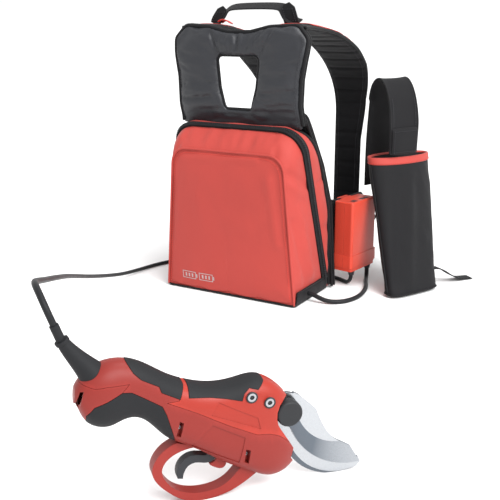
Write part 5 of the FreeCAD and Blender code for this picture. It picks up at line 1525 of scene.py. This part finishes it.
NODE_FINISH = {
    "red_casing": ("casing_right", "casing_left", "tail_cap", "trigger_guard", "trigger_catch"),
    "red_cover": ("head_cover",),
    "dark_rubber": ("grip_pad_right", "grip_pad_left", "top_grip_rear", "top_grip_front",
                    "cable_boot"),
    "blade_steel": ("cutting_blade", "hook_blade"),
    "bronze": ("pivot_bushing",),
    "plated_steel": ("pivot_bolt", "screw_bearing", "ball_screw", "ball_nut", "trigger_pin",
                     "trigger_spring", "head_bolts", "casing_screws"),
    "cap_plastic": ("pivot_cap",),
    "motor_steel": ("motor_can", "motor_rotor"),
    "frame_alloy": ("gearbox_housing", "head_frame"),
    "black_plastic": ("trigger", "zip_sliders", "battery_holder", "battery_left", "battery_right",
                      "cable_glands", "power_button", "level_down_button", "level_up_button"),
    "board_green": ("trigger_sensor", "drive_board", "controller_board"),
    "controller_red": ("controller_front", "controller_back"),
}


def finish_nodes():
    """Gives every CAD node that stays its finish; the ones that a piece replaces stay plain."""
    chosen = {name: key for key, names in NODE_FINISH.items() for name in names}
    for name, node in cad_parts.items():
        if name in chosen:
            node.data.materials.clear()
            node.data.materials.append(finish[chosen[name]])
            node.data.polygons.foreach_set("use_smooth", [True] * len(node.data.polygons))
            node.data.set_sharp_from_angle(angle=math.radians(32.0))
            if name.startswith("controller_"):
                level_faces(node.data)
        elif not node.data.materials:
            node.data.materials.append(finish["black_fabric"])


# ---------------------------------------------------------------- studio
FLOOR_HALF = 60.0
SURROUND = 1.03
SUN_POWER, SUN_SPREAD, SUN_WAY = 2.6, math.radians(35.0), Vector((-0.95, 0.50, -1.05))
LAMPS = (("strip_right", (1.5, -0.5, 0.9), 0.8, 9.0),        # name, place, size and power
         ("strip_high", (0.5, -0.2, 1.7), 0.7, 8.0))
LAMP_TARGET = Vector((0.1, -0.2, 0.2))


def make_studio():
    """Pale floor, one large soft key light, two small lamps and an even surround."""
    corners = [(-FLOOR_HALF, -FLOOR_HALF, 0), (FLOOR_HALF, -FLOOR_HALF, 0),
               (FLOOR_HALF, FLOOR_HALF, 0), (-FLOOR_HALF, FLOOR_HALF, 0)]
    floor = new_mesh("floor", corners, [(0, 1, 2, 3)])
    floor.data.materials.append(floor_finish("floor_finish"))
    world = bpy.data.worlds.new("surround")
    world.use_nodes = True
    world.node_tree.nodes["Background"].inputs["Color"].default_value = (1.0, 1.0, 1.0, 1.0)
    world.node_tree.nodes["Background"].inputs["Strength"].default_value = SURROUND
    bpy.context.scene.world = world
    sun = bpy.data.lights.new("sun", "SUN")
    sun.energy = SUN_POWER
    sun.angle = SUN_SPREAD
    lamp = link("sun", sun)
    lamp.rotation_euler = SUN_WAY.to_track_quat("-Z", "Y").to_euler()
    for name, place, size, power in LAMPS:
        light = bpy.data.lights.new(name, "AREA")
        light.size = size
        light.energy = power
        lamp = link(name, light)
        lamp.location = place
        aim = LAMP_TARGET - Vector(place)
        lamp.rotation_euler = aim.to_track_quat("-Z", "Y").to_euler()
    bpy.context.scene.view_settings.view_transform = "Standard"


front_panel = make_front()
make_gusset()
make_zip()
make_rear()
make_base()
make_back_panel()
make_yoke()
make_straps()
make_handle()
make_belt()
make_buckle()
make_tail()
make_holster()
make_flap()
make_marks(front_panel)
make_eyelets()
finish_nodes()
make_studio()
